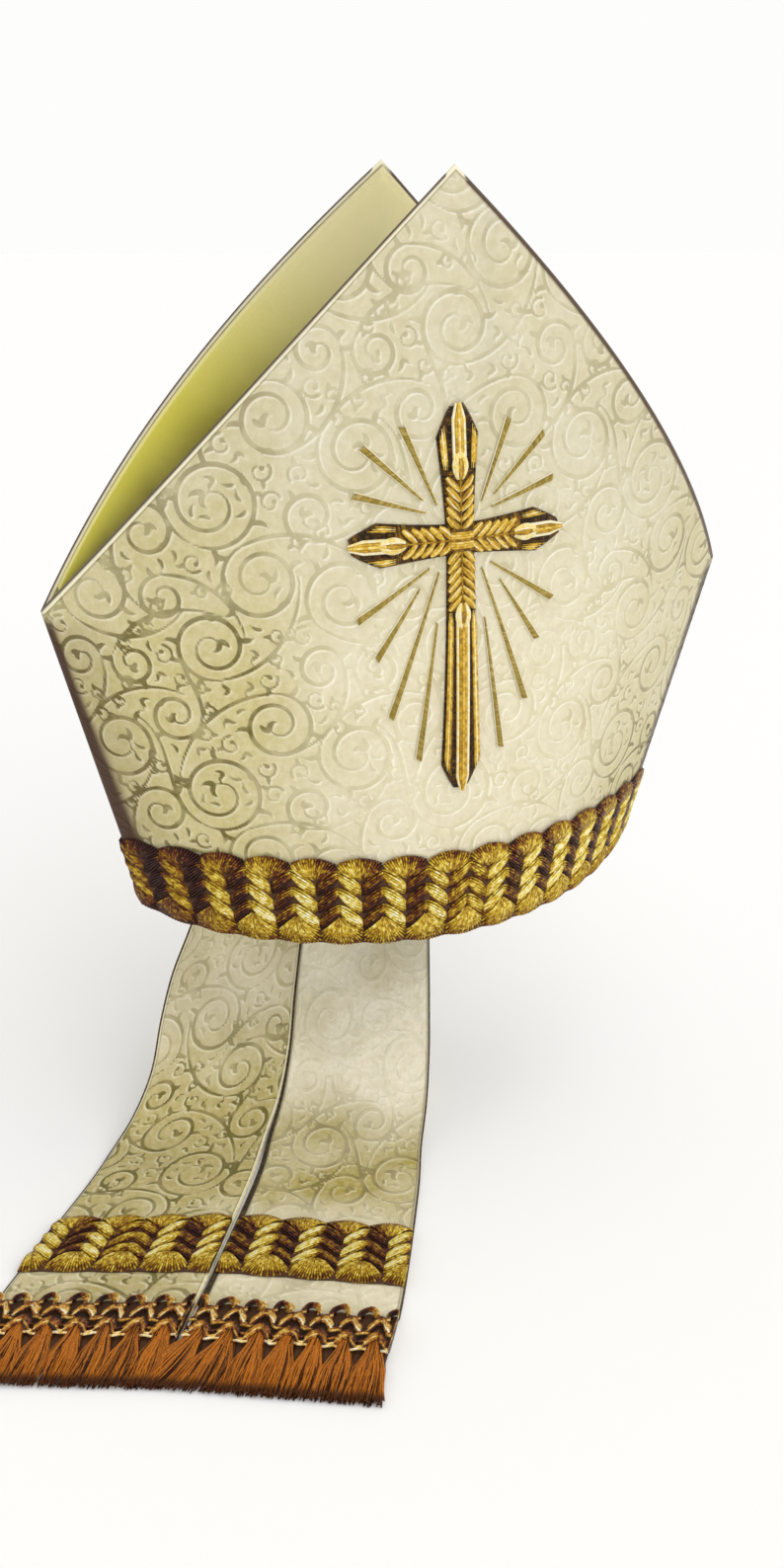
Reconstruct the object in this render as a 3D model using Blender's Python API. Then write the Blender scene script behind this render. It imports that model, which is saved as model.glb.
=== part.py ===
"""A bishop's mitre: two stiff brocade horns joined by a soft lining, a plaited gold braid round the
rim, an embroidered cross with rays on the front, and two lappets with braid and fringe.

Metres, +Z up. The origin is the centre of the rim, where the head goes in. The front faces -Y.
"""

import math

import bmesh
import bpy
from mathutils import Vector

# Rim, corners and peaks of the outer cloth. Half widths run along X, half depths along Y.
RIM_HALF_WIDTH = 0.1278
RIM_HALF_DEPTH = 0.0607
CORNER_HALF_WIDTH = 0.1696
CORNER_HALF_DEPTH = 0.0621
CORNER_HEIGHT = 0.155
PEAK_HALF_DEPTH = 0.0416
PEAK_HEIGHT = 0.338
GABLE_BULGE = 0.208
RIM_SIDE_RISE = 0.009
RIM_RISE_POWER = 8
PANEL_WALL = 0.0026

# Clearances between sewn pieces.
SEAM_GAP = 0.0003
SEWN_GAP = 0.0003
CLOTH_GAP = 0.0006

# The soft lining that joins the two horns in a valley.
LINING_THICKNESS = 0.0012
LINING_TUCK = 0.0028
LINING_DIP = 0.012
LINING_END_SHARE = 0.93

# Plaited braid of the rim and of the lappets.
BRAID_HEIGHT = 0.0427
BRAID_PITCH = 0.0194
BRAID_BASE = 0.0012
BRAID_RELIEF = 0.0018
BRAID_SCALLOP = 0.0018
BRAID_TURNS = 3
BRAID_PLUMP_POWER = 0.8
BRAID_VALLEY_SHARE = 0.45

# Embroidered cross. Arm lengths are measured from its centre.
CROSS_HEIGHT = 0.1905
CROSS_TILT = math.radians(2.0)
CROSS_UPPER_ARM = 0.056
CROSS_SIDE_ARM = 0.0495
CROSS_LOWER_ARM = 0.1145
CROSS_UPRIGHT_HALF = 0.0066
CROSS_BEAM_HALF = 0.0060
CROSS_FLARE = 0.0032
CROSS_STRIP_HALF = 0.0032
CROSS_CHAMFER = 0.0090
CROSS_STRIP_END = 0.0040
CROSS_BASE = 0.0011
CROSS_RIDGE = 0.0011

# Embroidered rays: a low cord, thicker at its outer end.
RAY_INNER_HALF = 0.0005
RAY_OUTER_HALF = 0.0011
RAY_RAISE = 0.0009
RAY_REACH = 0.1002
RAY_STEPS = 4

# The rays of one side, from the upper arm round to the lower one: degrees from the upper arm and
# share of RAY_REACH from the centre of the inner end, then the same of the outer end.
RAYS = (
    (34.4, 0.186, 27.0, 0.541),
    (43.4, 0.242, 45.7, 0.581),
    (51.9, 0.198, 65.2, 0.508),
    (128.5, 0.187, 124.9, 0.564),
    (136.5, 0.276, 142.3, 0.631),
    (143.7, 0.172, 157.0, 0.836),
    (162.5, 0.376, 168.3, 1.000),
)

# Lappets: two strips that hang side by side inside the back of the rim, fall to the level
# of the surface below and lie forward on it.
LAPPET_WIDTH = 0.070
LAPPET_HEM_WIDTH = 0.086
LAPPET_THICKNESS = 0.0020
LAPPET_OFFSET = 0.0250
LAPPET_SEWN = 0.016
LAPPET_DROP = 0.125
LAPPET_REACH = 0.225
LAPPET_DRIFT = 0.144
LAPPET_LENGTH = 0.321
LAPPET_PARTING = 0.0036
LEFT_TURN = math.radians(-22.0)
RIGHT_TURN = math.radians(-26.0)
LAPPET_BRAID_TO_HEM = 0.015
FRINGE_HEAD = 0.021
FRINGE_LENGTH = 0.030
FRINGE_LOCK_PITCH = 0.0125
FRINGE_HEAD_THICKNESS = 0.0024
FRINGE_TIP_THICKNESS = 0.0022
FRINGE_LOCK_CROWN = 0.0012
FRINGE_LOCK_GAP = 0.0005
FRINGE_ROOT_FILL = 0.45
FRINGE_FOLD = 3 * SEWN_GAP

# The fall of the lappets, one row for each station from the rim to the fringe tips. Shares of
# LAPPET_DROP, LAPPET_REACH, LAPPET_DRIFT, LEFT_TURN, RIGHT_TURN, of the widening from
# LAPPET_WIDTH to LAPPET_HEM_WIDTH and of LAPPET_PARTING, then how far the strip still
# clings to the curved wall.
FALL_DROP, FALL_REACH, FALL_DRIFT, FALL_LEFT, FALL_RIGHT, FALL_WIDEN, FALL_PART, FALL_CLING = range(8)
LAPPET_FALL = (
    (0.000, 0.000, 0.000, -0.60, 0.00, 0.00, 0.10, 1.00),
    (0.220, 0.024, 0.035, -0.40, 0.10, 0.05, 0.10, 0.45),
    (0.440, 0.059, 0.083, -0.16, 0.35, 0.10, 0.10, 0.10),
    (0.620, 0.118, 0.139, -0.06, 0.60, 0.16, 0.12, 0.00),
    (0.784, 0.189, 0.194, 0.02, 0.80, 0.22, 0.18, 0.00),
    (0.912, 0.267, 0.267, 0.25, 0.92, 0.32, 0.40, 0.00),
    (0.984, 0.357, 0.360, 0.50, 0.98, 0.42, 0.70, 0.00),
    (1.000, 0.500, 0.486, 0.75, 1.00, 0.56, 1.00, 0.00),
    (1.000, 0.798, 0.785, 0.95, 1.00, 1.00, 0.80, 0.00),
    (1.000, 1.000, 1.000, 1.00, 1.00, 1.05, 0.60, 0.00),
)

# Resolution of the meshes.
PANEL_COLUMNS = 22
PANEL_LOWER_ROWS = 8
PANEL_GABLE_ROWS = 10
LINING_STATIONS = 8
LINING_LEG_STEPS = 4
BRAID_STEPS = 4
BRAID_ROWS = 6
LAPPET_COLUMNS = 6
LAPPET_ROWS = 20
FINE_STEPS = 400
SLOPE_STEP = 0.002
SHARP_ANGLE = math.radians(35.0)


def clear_scene():
    for old in list(bpy.data.objects):
        bpy.data.objects.remove(old, do_unlink=True)


def plain_material(name, colour, roughness, metallic=0.0):
    material = bpy.data.materials.new(name)
    material.use_nodes = True
    shader = material.node_tree.nodes["Principled BSDF"]
    shader.inputs["Base Color"].default_value = (*colour, 1.0)
    shader.inputs["Roughness"].default_value = roughness
    shader.inputs["Metallic"].default_value = metallic
    return material


def slab(name, material, keys, faces, face_point, back_point):
    """A closed body between two skins over one plan: keys are its plan points and faces index them."""
    mesh = bpy.data.meshes.new(name)
    body = bmesh.new()
    front = [body.verts.new(face_point(key)) for key in keys]
    back = [body.verts.new(back_point(key)) for key in keys]
    uses = {}
    for face in faces:
        body.faces.new([front[i] for i in face])
        body.faces.new([back[i] for i in reversed(face)])
        for start, end in zip(face, face[1:] + face[:1]):
            uses[(start, end)] = True
    for start, end in uses:
        if (end, start) not in uses:
            body.faces.new((front[end], front[start], back[start], back[end]))
    bmesh.ops.recalc_face_normals(body, faces=body.faces)
    body.to_mesh(mesh)
    body.free()
    mesh.shade_smooth()
    mesh.set_sharp_from_angle(angle=SHARP_ANGLE)
    mesh.materials.append(material)
    made = bpy.data.objects.new(name, mesh)
    bpy.context.scene.collection.objects.link(made)
    return made


def grid_faces(columns, rows, closed=False):
    """Quads of a plan grid whose points are listed row by row, with columns points in a row."""
    faces = []
    for row in range(rows - 1):
        for column in range(columns if closed else columns - 1):
            beside = (column + 1) % columns
            low, high = row * columns, (row + 1) * columns
            faces.append((low + column, low + beside, high + beside, high + column))
    return faces


def spread(low, high, count):
    """count + 1 even values from low to high."""
    return [low + (high - low) * i / count for i in range(count + 1)]


# Skin of the horns: at every height the front and the back are two shallow arcs that meet at
# the side seams. A skin at an offset lies that far outside the cloth, or inside it if negative.
def half_depth(z):
    """Quadratic through the named half depths at the rim, the corners and the peak."""
    corner = (CORNER_HALF_DEPTH - RIM_HALF_DEPTH) / CORNER_HEIGHT
    peak = (PEAK_HALF_DEPTH - RIM_HALF_DEPTH) / PEAK_HEIGHT
    bend = (peak - corner) / (PEAK_HEIGHT - CORNER_HEIGHT)
    return RIM_HALF_DEPTH + (corner - bend * CORNER_HEIGHT) * z + bend * z * z


def half_width(z):
    return RIM_HALF_WIDTH + (CORNER_HALF_WIDTH - RIM_HALF_WIDTH) * z / CORNER_HEIGHT


def offset_section(z, offset):
    """Half width and half depth of the skin at this height and offset."""
    wide, deep = half_width(z), half_depth(z)
    seam_angle = math.atan2(2 * deep, wide)
    return wide + offset / math.sin(seam_angle), deep + offset


def skin(side, x, z, offset):
    """Point of the front (side -1) or back (side 1) skin."""
    wide, deep = offset_section(z, offset)
    return Vector((x, side * (SEAM_GAP / 2 + deep * (1 - (x / wide) ** 2)), z))


def gable_half_width(share):
    """Half width of a horn at this share of the way from the corners to the peak."""
    return CORNER_HALF_WIDTH * (1 - share) * (1 + GABLE_BULGE * share)


def gable_height(share):
    return CORNER_HEIGHT + (PEAK_HEIGHT - CORNER_HEIGHT) * share


def side_rise(share):
    """The rim lifts a little towards the side seams."""
    return RIM_SIDE_RISE * abs(share) ** RIM_RISE_POWER


def panel_edge(z, offset):
    """Half width of a panel at this height, its gable included."""
    wide = offset_section(z, offset)[0]
    if z <= CORNER_HEIGHT:
        return wide
    share = (z - CORNER_HEIGHT) / (PEAK_HEIGHT - CORNER_HEIGHT)
    return min(wide, gable_half_width(share))


def build_panel(name, side, material):
    columns = spread(-1.0, 1.0, PANEL_COLUMNS)
    lower = spread(0.0, 1.0, PANEL_LOWER_ROWS)
    gable = spread(0.0, 1.0, PANEL_GABLE_ROWS)[1:-1]
    keys = []
    for row in lower:
        for share in columns:
            keys.append((share, side_rise(share) * (1 - row) + CORNER_HEIGHT * row))
    for row in gable:
        keys += [(share, gable_height(row)) for share in columns]
    faces = grid_faces(len(columns), len(lower) + len(gable))
    last = len(keys) - len(columns)
    keys.append((0.0, PEAK_HEIGHT))
    faces += [(last + i, last + i + 1, len(keys) - 1) for i in range(len(columns) - 1)]

    def at(offset):
        def point(key):
            share, z = key
            return skin(side, share * panel_edge(z, offset), z, offset)

        return point

    return slab(name, material, keys, faces, at(0.0), at(-PANEL_WALL))


def lining_section(share, sign):
    """Lower skin of the lining at one station: from the front gable edge down to the valley
    and up to the back one."""
    x = sign * gable_half_width(share)
    edge_height = gable_height(share) - LINING_TUCK
    wall = skin(1, x, edge_height, -PANEL_WALL - CLOTH_GAP).y
    valley_height = CORNER_HEIGHT - LINING_DIP * (1 - (x / CORNER_HALF_WIDTH) ** 2)
    legs = []
    for step in range(-LINING_LEG_STEPS, LINING_LEG_STEPS + 1):
        climb = abs(step) / LINING_LEG_STEPS
        y = math.copysign(wall * climb, step)
        legs.append(Vector((x, y, valley_height + (edge_height - valley_height) * climb)))
    return legs


def raised(legs, thickness):
    """The section moved up by the thickness, square to its legs."""
    side = (legs[-1] - legs[len(legs) // 2]).normalized()
    across = thickness / side.z
    up = thickness / side.y
    moved = []
    for i, point in enumerate(legs):
        step = i - len(legs) // 2
        if step == 0:
            moved.append(point + Vector((0, 0, up)))
        else:
            moved.append(point - Vector((0, math.copysign(across, step), 0)))
    return moved


def build_lining(material):
    first = 1 - LINING_END_SHARE
    climbs = spread(first, 1.0 - first / 2, LINING_STATIONS)
    stations = [(share, -1) for share in climbs] + [(1.0, 1)] + [(share, 1) for share in reversed(climbs)]
    low = [lining_section(share, sign) for share, sign in stations]
    high = [raised(legs, LINING_THICKNESS) for legs in low]
    across = len(low[0])
    keys = [(i, j) for i in range(len(stations)) for j in range(across)]
    faces = grid_faces(across, len(stations))
    return slab("lining", material, keys, faces, lambda k: high[k[0]][k[1]], lambda k: low[k[0]][k[1]])


def even_shares(count):
    """Places across a panel, as shares of its half width, that split the rim arc evenly."""
    fine = [skin(-1, share * RIM_HALF_WIDTH, 0.0, 0.0) for share in spread(-1.0, 1.0, FINE_STEPS)]
    run = [0.0]
    for before, after in zip(fine, fine[1:]):
        run.append(run[-1] + (after - before).length)
    shares = []
    place = 0
    for i in range(count + 1):
        wanted = run[-1] * i / count
        while place < FINE_STEPS - 1 and run[place + 1] < wanted:
            place += 1
        part = (wanted - run[place]) / (run[place + 1] - run[place])
        shares.append(-1.0 + 2.0 * (place + part) / FINE_STEPS)
    return shares, run[-1]


def braid_raise(across, up):
    """Share of the relief at a place in one plaited motif: three plump turns, low at the motif's sides."""
    plump = math.sin(math.pi * across) ** BRAID_PLUMP_POWER
    swell = abs(math.sin(BRAID_TURNS * math.pi * up))
    turns = BRAID_VALLEY_SHARE + (1 - BRAID_VALLEY_SHARE) * swell
    return plump * turns if 0.0 < up < 1.0 else 0.0


def braid_edge(across):
    """Share of the scallop at a place in one motif."""
    return math.sin(math.pi * across)


def build_rim_braid(material):
    arc = even_shares(1)[1]
    motifs = max(4, round(arc / BRAID_PITCH))
    shares = even_shares(motifs * BRAID_STEPS)[0]
    ring = [(-1, share) for share in shares[:-1]] + [(1, share) for share in reversed(shares[1:])]
    keys = []
    for row in range(BRAID_ROWS + 1):
        up = row / BRAID_ROWS
        for i, (side, share) in enumerate(ring):
            across = (i % BRAID_STEPS) / BRAID_STEPS
            keys.append((side, share, across, up))
    faces = grid_faces(len(ring), BRAID_ROWS + 1, closed=True)
    inner = SEWN_GAP + SEAM_GAP / 2

    def at(key, offset):
        side, share, across, up = key
        scallop = BRAID_SCALLOP * braid_edge(across)
        foot = side_rise(share) - scallop
        z = foot + (BRAID_HEIGHT + scallop - foot) * up
        wide = offset_section(z, offset)[0]
        point = skin(side, share * wide, z, offset)
        if abs(share) == 1.0:
            point.y = 0.0
        return point

    def outer_point(key):
        return at(key, inner + BRAID_BASE + BRAID_RELIEF * braid_raise(key[2], key[3]))

    return slab("rim_braid", material, keys, faces, outer_point, lambda key: at(key, inner))


def embroidery(along_x, along_z, offset):
    """Point of the front skin at this place from the centre of the cross."""
    x = along_x * math.cos(CROSS_TILT) - along_z * math.sin(CROSS_TILT)
    z = CROSS_HEIGHT + along_x * math.sin(CROSS_TILT) + along_z * math.cos(CROSS_TILT)
    return skin(-1, x, z, SEWN_GAP + offset)


# Rows of a cross arm: share of the straight run at the sides and at the strip, share of the
# flare, share of the ridge.
ARM_ROWS = (
    (0.30, 0.30, 0.25, 1.0),
    (0.58, 0.58, 0.50, 0.9),
    (1.00, 1.00, 1.00, 0.5),
)


def arm_points(length, half, core):
    """Rows of (along, across, height) for one arm, from the core outwards."""
    straight = length - CROSS_CHAMFER - CROSS_STRIP_END
    rows = []
    for side_share, strip_share, flare_share, ridge in ARM_ROWS:
        side = core + (straight - core) * side_share
        strip = core + (straight - core) * strip_share
        reach = half + CROSS_FLARE * flare_share
        top = CROSS_BASE + CROSS_RIDGE * ridge
        low = CROSS_BASE + CROSS_RIDGE * ridge / 2
        rows.append(
            [
                (side, -reach, CROSS_BASE),
                (strip, -CROSS_STRIP_HALF, low),
                (strip, 0.0, top),
                (strip, CROSS_STRIP_HALF, low),
                (side, reach, CROSS_BASE),
            ]
        )
    low = CROSS_BASE + CROSS_RIDGE / 4
    for along in (length - CROSS_STRIP_END, length):
        rows.append([(along, across * CROSS_STRIP_HALF, low) for across in (-1, 0, 1)])
    return rows


def build_cross(material):
    keys = []
    places = {}
    faces = []

    def index(x, z, height):
        place = (round(x, 7), round(z, 7))
        if place not in places:
            places[place] = len(keys)
            keys.append((x, z, height))
        return places[place]

    ridge = CROSS_BASE + CROSS_RIDGE
    middle = CROSS_BASE + CROSS_RIDGE / 2
    lines = (-1.0, -CROSS_STRIP_HALF, 0.0, CROSS_STRIP_HALF, 1.0)
    xs = [line * CROSS_UPRIGHT_HALF if abs(line) == 1.0 else line for line in lines]
    zs = [line * CROSS_BEAM_HALF if abs(line) == 1.0 else line for line in lines]
    heights = (CROSS_BASE, middle, ridge, middle, CROSS_BASE)
    core = [[index(x, z, max(heights[i], heights[j])) for i, x in enumerate(xs)] for j, z in enumerate(zs)]
    for j in range(4):
        for i in range(4):
            faces.append((core[j][i], core[j][i + 1], core[j + 1][i + 1], core[j + 1][i]))

    arms = (
        (CROSS_UPPER_ARM, CROSS_UPRIGHT_HALF, CROSS_BEAM_HALF, lambda a, c: (-c, a), core[4][::-1]),
        (CROSS_LOWER_ARM, CROSS_UPRIGHT_HALF, CROSS_BEAM_HALF, lambda a, c: (c, -a), core[0]),
        (CROSS_SIDE_ARM, CROSS_BEAM_HALF, CROSS_UPRIGHT_HALF, lambda a, c: (a, c), [row[4] for row in core]),
        (
            CROSS_SIDE_ARM,
            CROSS_BEAM_HALF,
            CROSS_UPRIGHT_HALF,
            lambda a, c: (-a, -c),
            [row[0] for row in reversed(core)],
        ),
    )
    for length, half, start, turn, last in arms:
        for row in arm_points(length, half, start):
            line = [index(*turn(along, across), height) for along, across, height in row]
            if len(line) == len(last):
                faces += [(last[i], line[i], line[i + 1], last[i + 1]) for i in range(len(line) - 1)]
            else:
                faces += [(last[i + 1], line[i], line[i + 1], last[i + 2]) for i in range(2)]
                faces.append((last[0], line[0], last[1]))
                faces.append((last[3], line[2], last[4]))
            last = line
    return slab(
        "cross",
        material,
        keys,
        [tuple(face) for face in faces],
        lambda key: embroidery(*key),
        lambda key: embroidery(key[0], key[1], 0.0),
    )


def build_ray(name, side, ends, material):
    """One ray on the left (side -1) or right of the cross, between its two named ends."""
    inner_angle, inner_share, outer_angle, outer_share = ends
    inner, outer = (
        RAY_REACH * share * Vector((side * math.sin(math.radians(angle)), math.cos(math.radians(angle))))
        for angle, share in ((inner_angle, inner_share), (outer_angle, outer_share))
    )
    across = (outer - inner).orthogonal().normalized()
    keys = []
    for share in spread(0.0, 1.0, RAY_STEPS):
        half = RAY_INNER_HALF + (RAY_OUTER_HALF - RAY_INNER_HALF) * share
        for edge in (-1, 0, 1):
            place = inner.lerp(outer, share) + across * half * edge
            keys.append((place.x, place.y, RAY_RAISE if edge == 0 else RAY_RAISE / 2))
    faces = grid_faces(3, RAY_STEPS + 1)
    return slab(
        name,
        material,
        keys,
        faces,
        lambda key: embroidery(*key),
        lambda key: embroidery(key[0], key[1], 0.0),
    )


def smooth_row(table, place):
    """Row of the table at a place between its rows, on a smooth curve through them."""
    last = len(table) - 1
    low = min(int(max(place, 0.0)), last - 1)
    part = place - low
    rows = [table[min(max(low + i, 0), last)] for i in (-1, 0, 1, 2)]
    if part > 1.0:
        return [b + (c - b) * part for b, c in zip(rows[1], rows[2])]
    mixed = []
    for a, b, c, d in zip(*rows):
        slope_b, slope_c = (c - a) / 2, (d - b) / 2
        bend = 3 * (c - b) - 2 * slope_b - slope_c
        twist = 2 * (b - c) + slope_b + slope_c
        mixed.append(b + slope_b * part + bend * part**2 + twist * part**3)
    return mixed


def parting_point(row):
    """Point of the line that parts the two lappets."""
    start = skin(1, -LAPPET_OFFSET, 0.0, -PANEL_WALL - CLOTH_GAP)
    x = start.x - LAPPET_DRIFT * row[FALL_DRIFT]
    y = start.y - LAPPET_REACH * row[FALL_REACH]
    floor = -LAPPET_DROP + LAPPET_THICKNESS
    return Vector((x, y, floor * min(row[FALL_DROP], 1.0)))


def fall_lengths():
    """Length of the parting line from the rim to each fine step of the table."""
    places = spread(0.0, len(LAPPET_FALL) - 1, FINE_STEPS)
    points = [parting_point(smooth_row(LAPPET_FALL, place)) for place in places]
    run = [0.0]
    for before, after in zip(points, points[1:]):
        run.append(run[-1] + (after - before).length)
    return places, run


FALL_PLACES, FALL_RUN = fall_lengths()


def fall_row(distance):
    """Row of the fall at a distance below the rim, carried straight on past its last station."""
    for i in range(1, len(FALL_RUN)):
        if FALL_RUN[i] >= distance or i == len(FALL_RUN) - 1:
            part = (distance - FALL_RUN[i - 1]) / (FALL_RUN[i] - FALL_RUN[i - 1])
            place = FALL_PLACES[i - 1] + (FALL_PLACES[i] - FALL_PLACES[i - 1]) * part
            return smooth_row(LAPPET_FALL, place)
    return list(LAPPET_FALL[-1])


def lappet_face(hand, distance, share):
    """Outer face of a lappet, hand -1 for the left one: distance from the rim, share from its inner edge."""
    row = fall_row(max(distance, 0.0))
    start = parting_point(row)
    turn = LEFT_TURN * row[FALL_LEFT] if hand < 0 else RIGHT_TURN * row[FALL_RIGHT]
    widened = LAPPET_WIDTH + (LAPPET_HEM_WIDTH - LAPPET_WIDTH) * row[FALL_WIDEN]
    run = LAPPET_PARTING * row[FALL_PART] / 2 + widened * share
    point = start + hand * run * Vector((math.cos(turn), math.sin(turn), 0.0))
    cling = max(row[FALL_CLING], 0.0)
    if cling > 0.0:
        inside = -PANEL_WALL - CLOTH_GAP - LAPPET_THICKNESS
        wall = skin(1, point.x, max(-distance, 0.0), inside)
        point.y += (wall.y - point.y) * cling
    if distance < 0.0:
        point.z = -distance
    return point


def lappet_skin(hand, distance, share, offset):
    """Point at an offset outside the lappet's outer face."""
    step = LAPPET_LENGTH * SLOPE_STEP
    along = lappet_face(hand, distance + step, share) - lappet_face(hand, distance - step, share)
    across = lappet_face(hand, distance, share + SLOPE_STEP) - lappet_face(hand, distance, share - SLOPE_STEP)
    normal = (across * hand).cross(along).normalized() * -1
    return lappet_face(hand, distance, share) + normal * offset


def lappet_hem():
    return LAPPET_LENGTH - LAPPET_SEWN


def build_lappet(name, hand, material):
    rows = spread(-LAPPET_SEWN, lappet_hem(), LAPPET_ROWS)
    columns = spread(0.0, 1.0, LAPPET_COLUMNS)
    keys = [(distance, share) for distance in rows for share in columns]
    faces = grid_faces(len(columns), len(rows))
    return slab(
        name,
        material,
        keys,
        faces,
        lambda key: lappet_skin(hand, key[0], key[1], 0.0),
        lambda key: lappet_skin(hand, key[0], key[1], -LAPPET_THICKNESS),
    )


def build_lappet_braid(name, hand, material):
    motifs = max(2, round(LAPPET_HEM_WIDTH / BRAID_PITCH))
    low = lappet_hem() - FRINGE_HEAD - LAPPET_BRAID_TO_HEM
    keys = []
    for row in range(BRAID_ROWS + 1):
        up = row / BRAID_ROWS
        for i in range(motifs * BRAID_STEPS + 1):
            across = (i % BRAID_STEPS) / BRAID_STEPS
            scallop = BRAID_SCALLOP * braid_edge(across)
            distance = low - BRAID_HEIGHT - scallop + (BRAID_HEIGHT + 2 * scallop) * up
            keys.append((distance, i / (motifs * BRAID_STEPS), across, up))
    faces = grid_faces(motifs * BRAID_STEPS + 1, BRAID_ROWS + 1)

    def top(key):
        rise = SEWN_GAP + BRAID_BASE + BRAID_RELIEF * braid_raise(key[2], key[3])
        return lappet_skin(hand, key[0], key[1], rise)

    return slab(name, material, keys, faces, top, lambda key: lappet_skin(hand, key[0], key[1], SEWN_GAP))


# Rows of a fringe lock: share of its length, share of the pitch that it fills, share of its crown.
LOCK_ROWS = (
    (0.22, 0.62, 1.0),
    (0.55, 0.90, 0.9),
    (1.00, 1.00, 0.0),
)


def build_fringe(name, hand, material):
    """A heading that lies on the lappet's end, with locks of strands past the hem."""
    hem = lappet_hem()
    locks = max(2, round(LAPPET_HEM_WIDTH / FRINGE_LOCK_PITCH))
    head_top = SEWN_GAP + FRINGE_HEAD_THICKNESS
    keys = []
    faces = []
    shares = [0.0]
    for i in range(locks):
        shares += [(i + 0.5 + side * FRINGE_ROOT_FILL / 2) / locks for side in (-1, 0, 1)]
    shares.append(1.0)
    head_rows = (
        (hem - FRINGE_HEAD, head_top, SEWN_GAP),
        (hem - FRINGE_HEAD / 2, head_top + FRINGE_LOCK_CROWN, SEWN_GAP),
        (hem + SEWN_GAP, head_top, SEWN_GAP),
        (hem + FRINGE_FOLD, head_top, -LAPPET_THICKNESS),
    )
    for distance, top, bottom in head_rows:
        keys += [(distance, share, top, bottom) for share in shares]
    faces += grid_faces(len(shares), len(head_rows))
    first = len(keys) - len(shares)
    for i in range(locks):
        last = [first + 1 + 3 * i + j for j in range(3)]
        for along, fill, crown in LOCK_ROWS:
            half = (fill - FRINGE_LOCK_GAP / FRINGE_LOCK_PITCH) / 2
            distance = hem + FRINGE_FOLD + FRINGE_LENGTH * along
            tip = head_top + (FRINGE_TIP_THICKNESS - LAPPET_THICKNESS - head_top) * along
            line = []
            for side in (-1, 0, 1):
                ridge = FRINGE_LOCK_CROWN * crown if side == 0 else 0.0
                line.append(len(keys))
                keys.append((distance, (i + 0.5 + side * half) / locks, tip + ridge, -LAPPET_THICKNESS))
            faces += [(last[j], last[j + 1], line[j + 1], line[j]) for j in range(2)]
            last = line
    return slab(
        name,
        material,
        keys,
        faces,
        lambda key: lappet_skin(hand, key[0], key[1], key[2]),
        lambda key: lappet_skin(hand, key[0], key[1], key[3]),
    )


def main():
    clear_scene()
    brocade = plain_material("ivory brocade", (0.78, 0.74, 0.58), 0.55)
    satin = plain_material("olive satin", (0.55, 0.50, 0.12), 0.45)
    gold = plain_material("gold braid", (0.72, 0.46, 0.09), 0.35, 0.8)
    thread = plain_material("gold thread", (0.66, 0.43, 0.10), 0.4, 0.6)
    ray_thread = plain_material("olive gold thread", (0.45, 0.33, 0.08), 0.45, 0.5)
    rust = plain_material("rust silk", (0.50, 0.20, 0.03), 0.5)
    build_panel("front_panel", -1, brocade)
    build_panel("back_panel", 1, brocade)
    build_lining(satin)
    build_rim_braid(gold)
    build_cross(thread)
    for side in (-1, 1):
        for number, ends in enumerate(RAYS, 1 if side < 0 else 1 + len(RAYS)):
            build_ray(f"ray_{number:02d}", side, ends, ray_thread)
    for name, hand in (("left", -1), ("right", 1)):
        build_lappet(f"lappet_{name}", hand, brocade)
        build_lappet_braid(f"lappet_braid_{name}", hand, gold)
        build_fringe(f"fringe_{name}", hand, rust)


main()
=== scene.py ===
"""Looks of a bishop's mitre: ivory brocade with vine scrolls, plaited gold galloon round the rim, a
cross and rays in gold embroidery, satin lining in the cleft, and two lappets with galloon and a
silk fringe. Metres, +Z up, front facing -Y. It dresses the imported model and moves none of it.
"""

import math

import bpy
import numpy as np
from mathutils import Matrix, Vector


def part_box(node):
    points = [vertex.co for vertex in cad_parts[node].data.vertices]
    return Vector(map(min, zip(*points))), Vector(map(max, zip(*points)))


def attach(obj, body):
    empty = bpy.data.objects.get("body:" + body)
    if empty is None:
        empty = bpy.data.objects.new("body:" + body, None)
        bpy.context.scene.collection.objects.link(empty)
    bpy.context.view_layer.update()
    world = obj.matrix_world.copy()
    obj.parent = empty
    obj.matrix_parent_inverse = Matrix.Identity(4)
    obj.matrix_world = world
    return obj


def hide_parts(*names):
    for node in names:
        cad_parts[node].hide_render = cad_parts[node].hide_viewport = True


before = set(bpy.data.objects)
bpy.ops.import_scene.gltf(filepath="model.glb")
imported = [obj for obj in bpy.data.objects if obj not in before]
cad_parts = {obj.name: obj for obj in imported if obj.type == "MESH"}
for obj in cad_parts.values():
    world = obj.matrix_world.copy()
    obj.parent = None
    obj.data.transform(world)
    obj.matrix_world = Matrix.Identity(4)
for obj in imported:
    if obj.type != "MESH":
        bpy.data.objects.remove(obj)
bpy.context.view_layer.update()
scene = bpy.context.scene

# The horns, as the model has them. Half widths run along X and half depths along Y.
PANEL_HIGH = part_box("front_panel")[1]
PEAK_HEIGHT = PANEL_HIGH.z
CORNER_HALF_WIDTH = PANEL_HIGH.x
RIM_HALF_WIDTH = 0.1278
RIM_HALF_DEPTH = 0.0607
CORNER_HALF_DEPTH = 0.0621
CORNER_HEIGHT = 0.155
PEAK_HALF_DEPTH = 0.0416
GABLE_RISE = PEAK_HEIGHT - CORNER_HEIGHT
GABLE_BULGE = 0.208
RIM_SIDE_RISE = 0.009
RIM_RISE_POWER = 8
PANEL_WALL = 0.0026
SEAM_GAP = 0.0003
SEWN_GAP = 0.0003
CLOTH_GAP = 0.0006

# How finely the brocade is laid out, how round its edges are and how far the gable draws in with
# them, and how far its woven figure and its waves stand up.
PANEL_GRAIN = 0.00102
BACKING_COARSER = 5
EDGE_ROUND = 0.0011
GABLE_DRAW = 1.3
FIGURE_RAISE = 0.00007
CLOTH_RIPPLE = 0.00018

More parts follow.
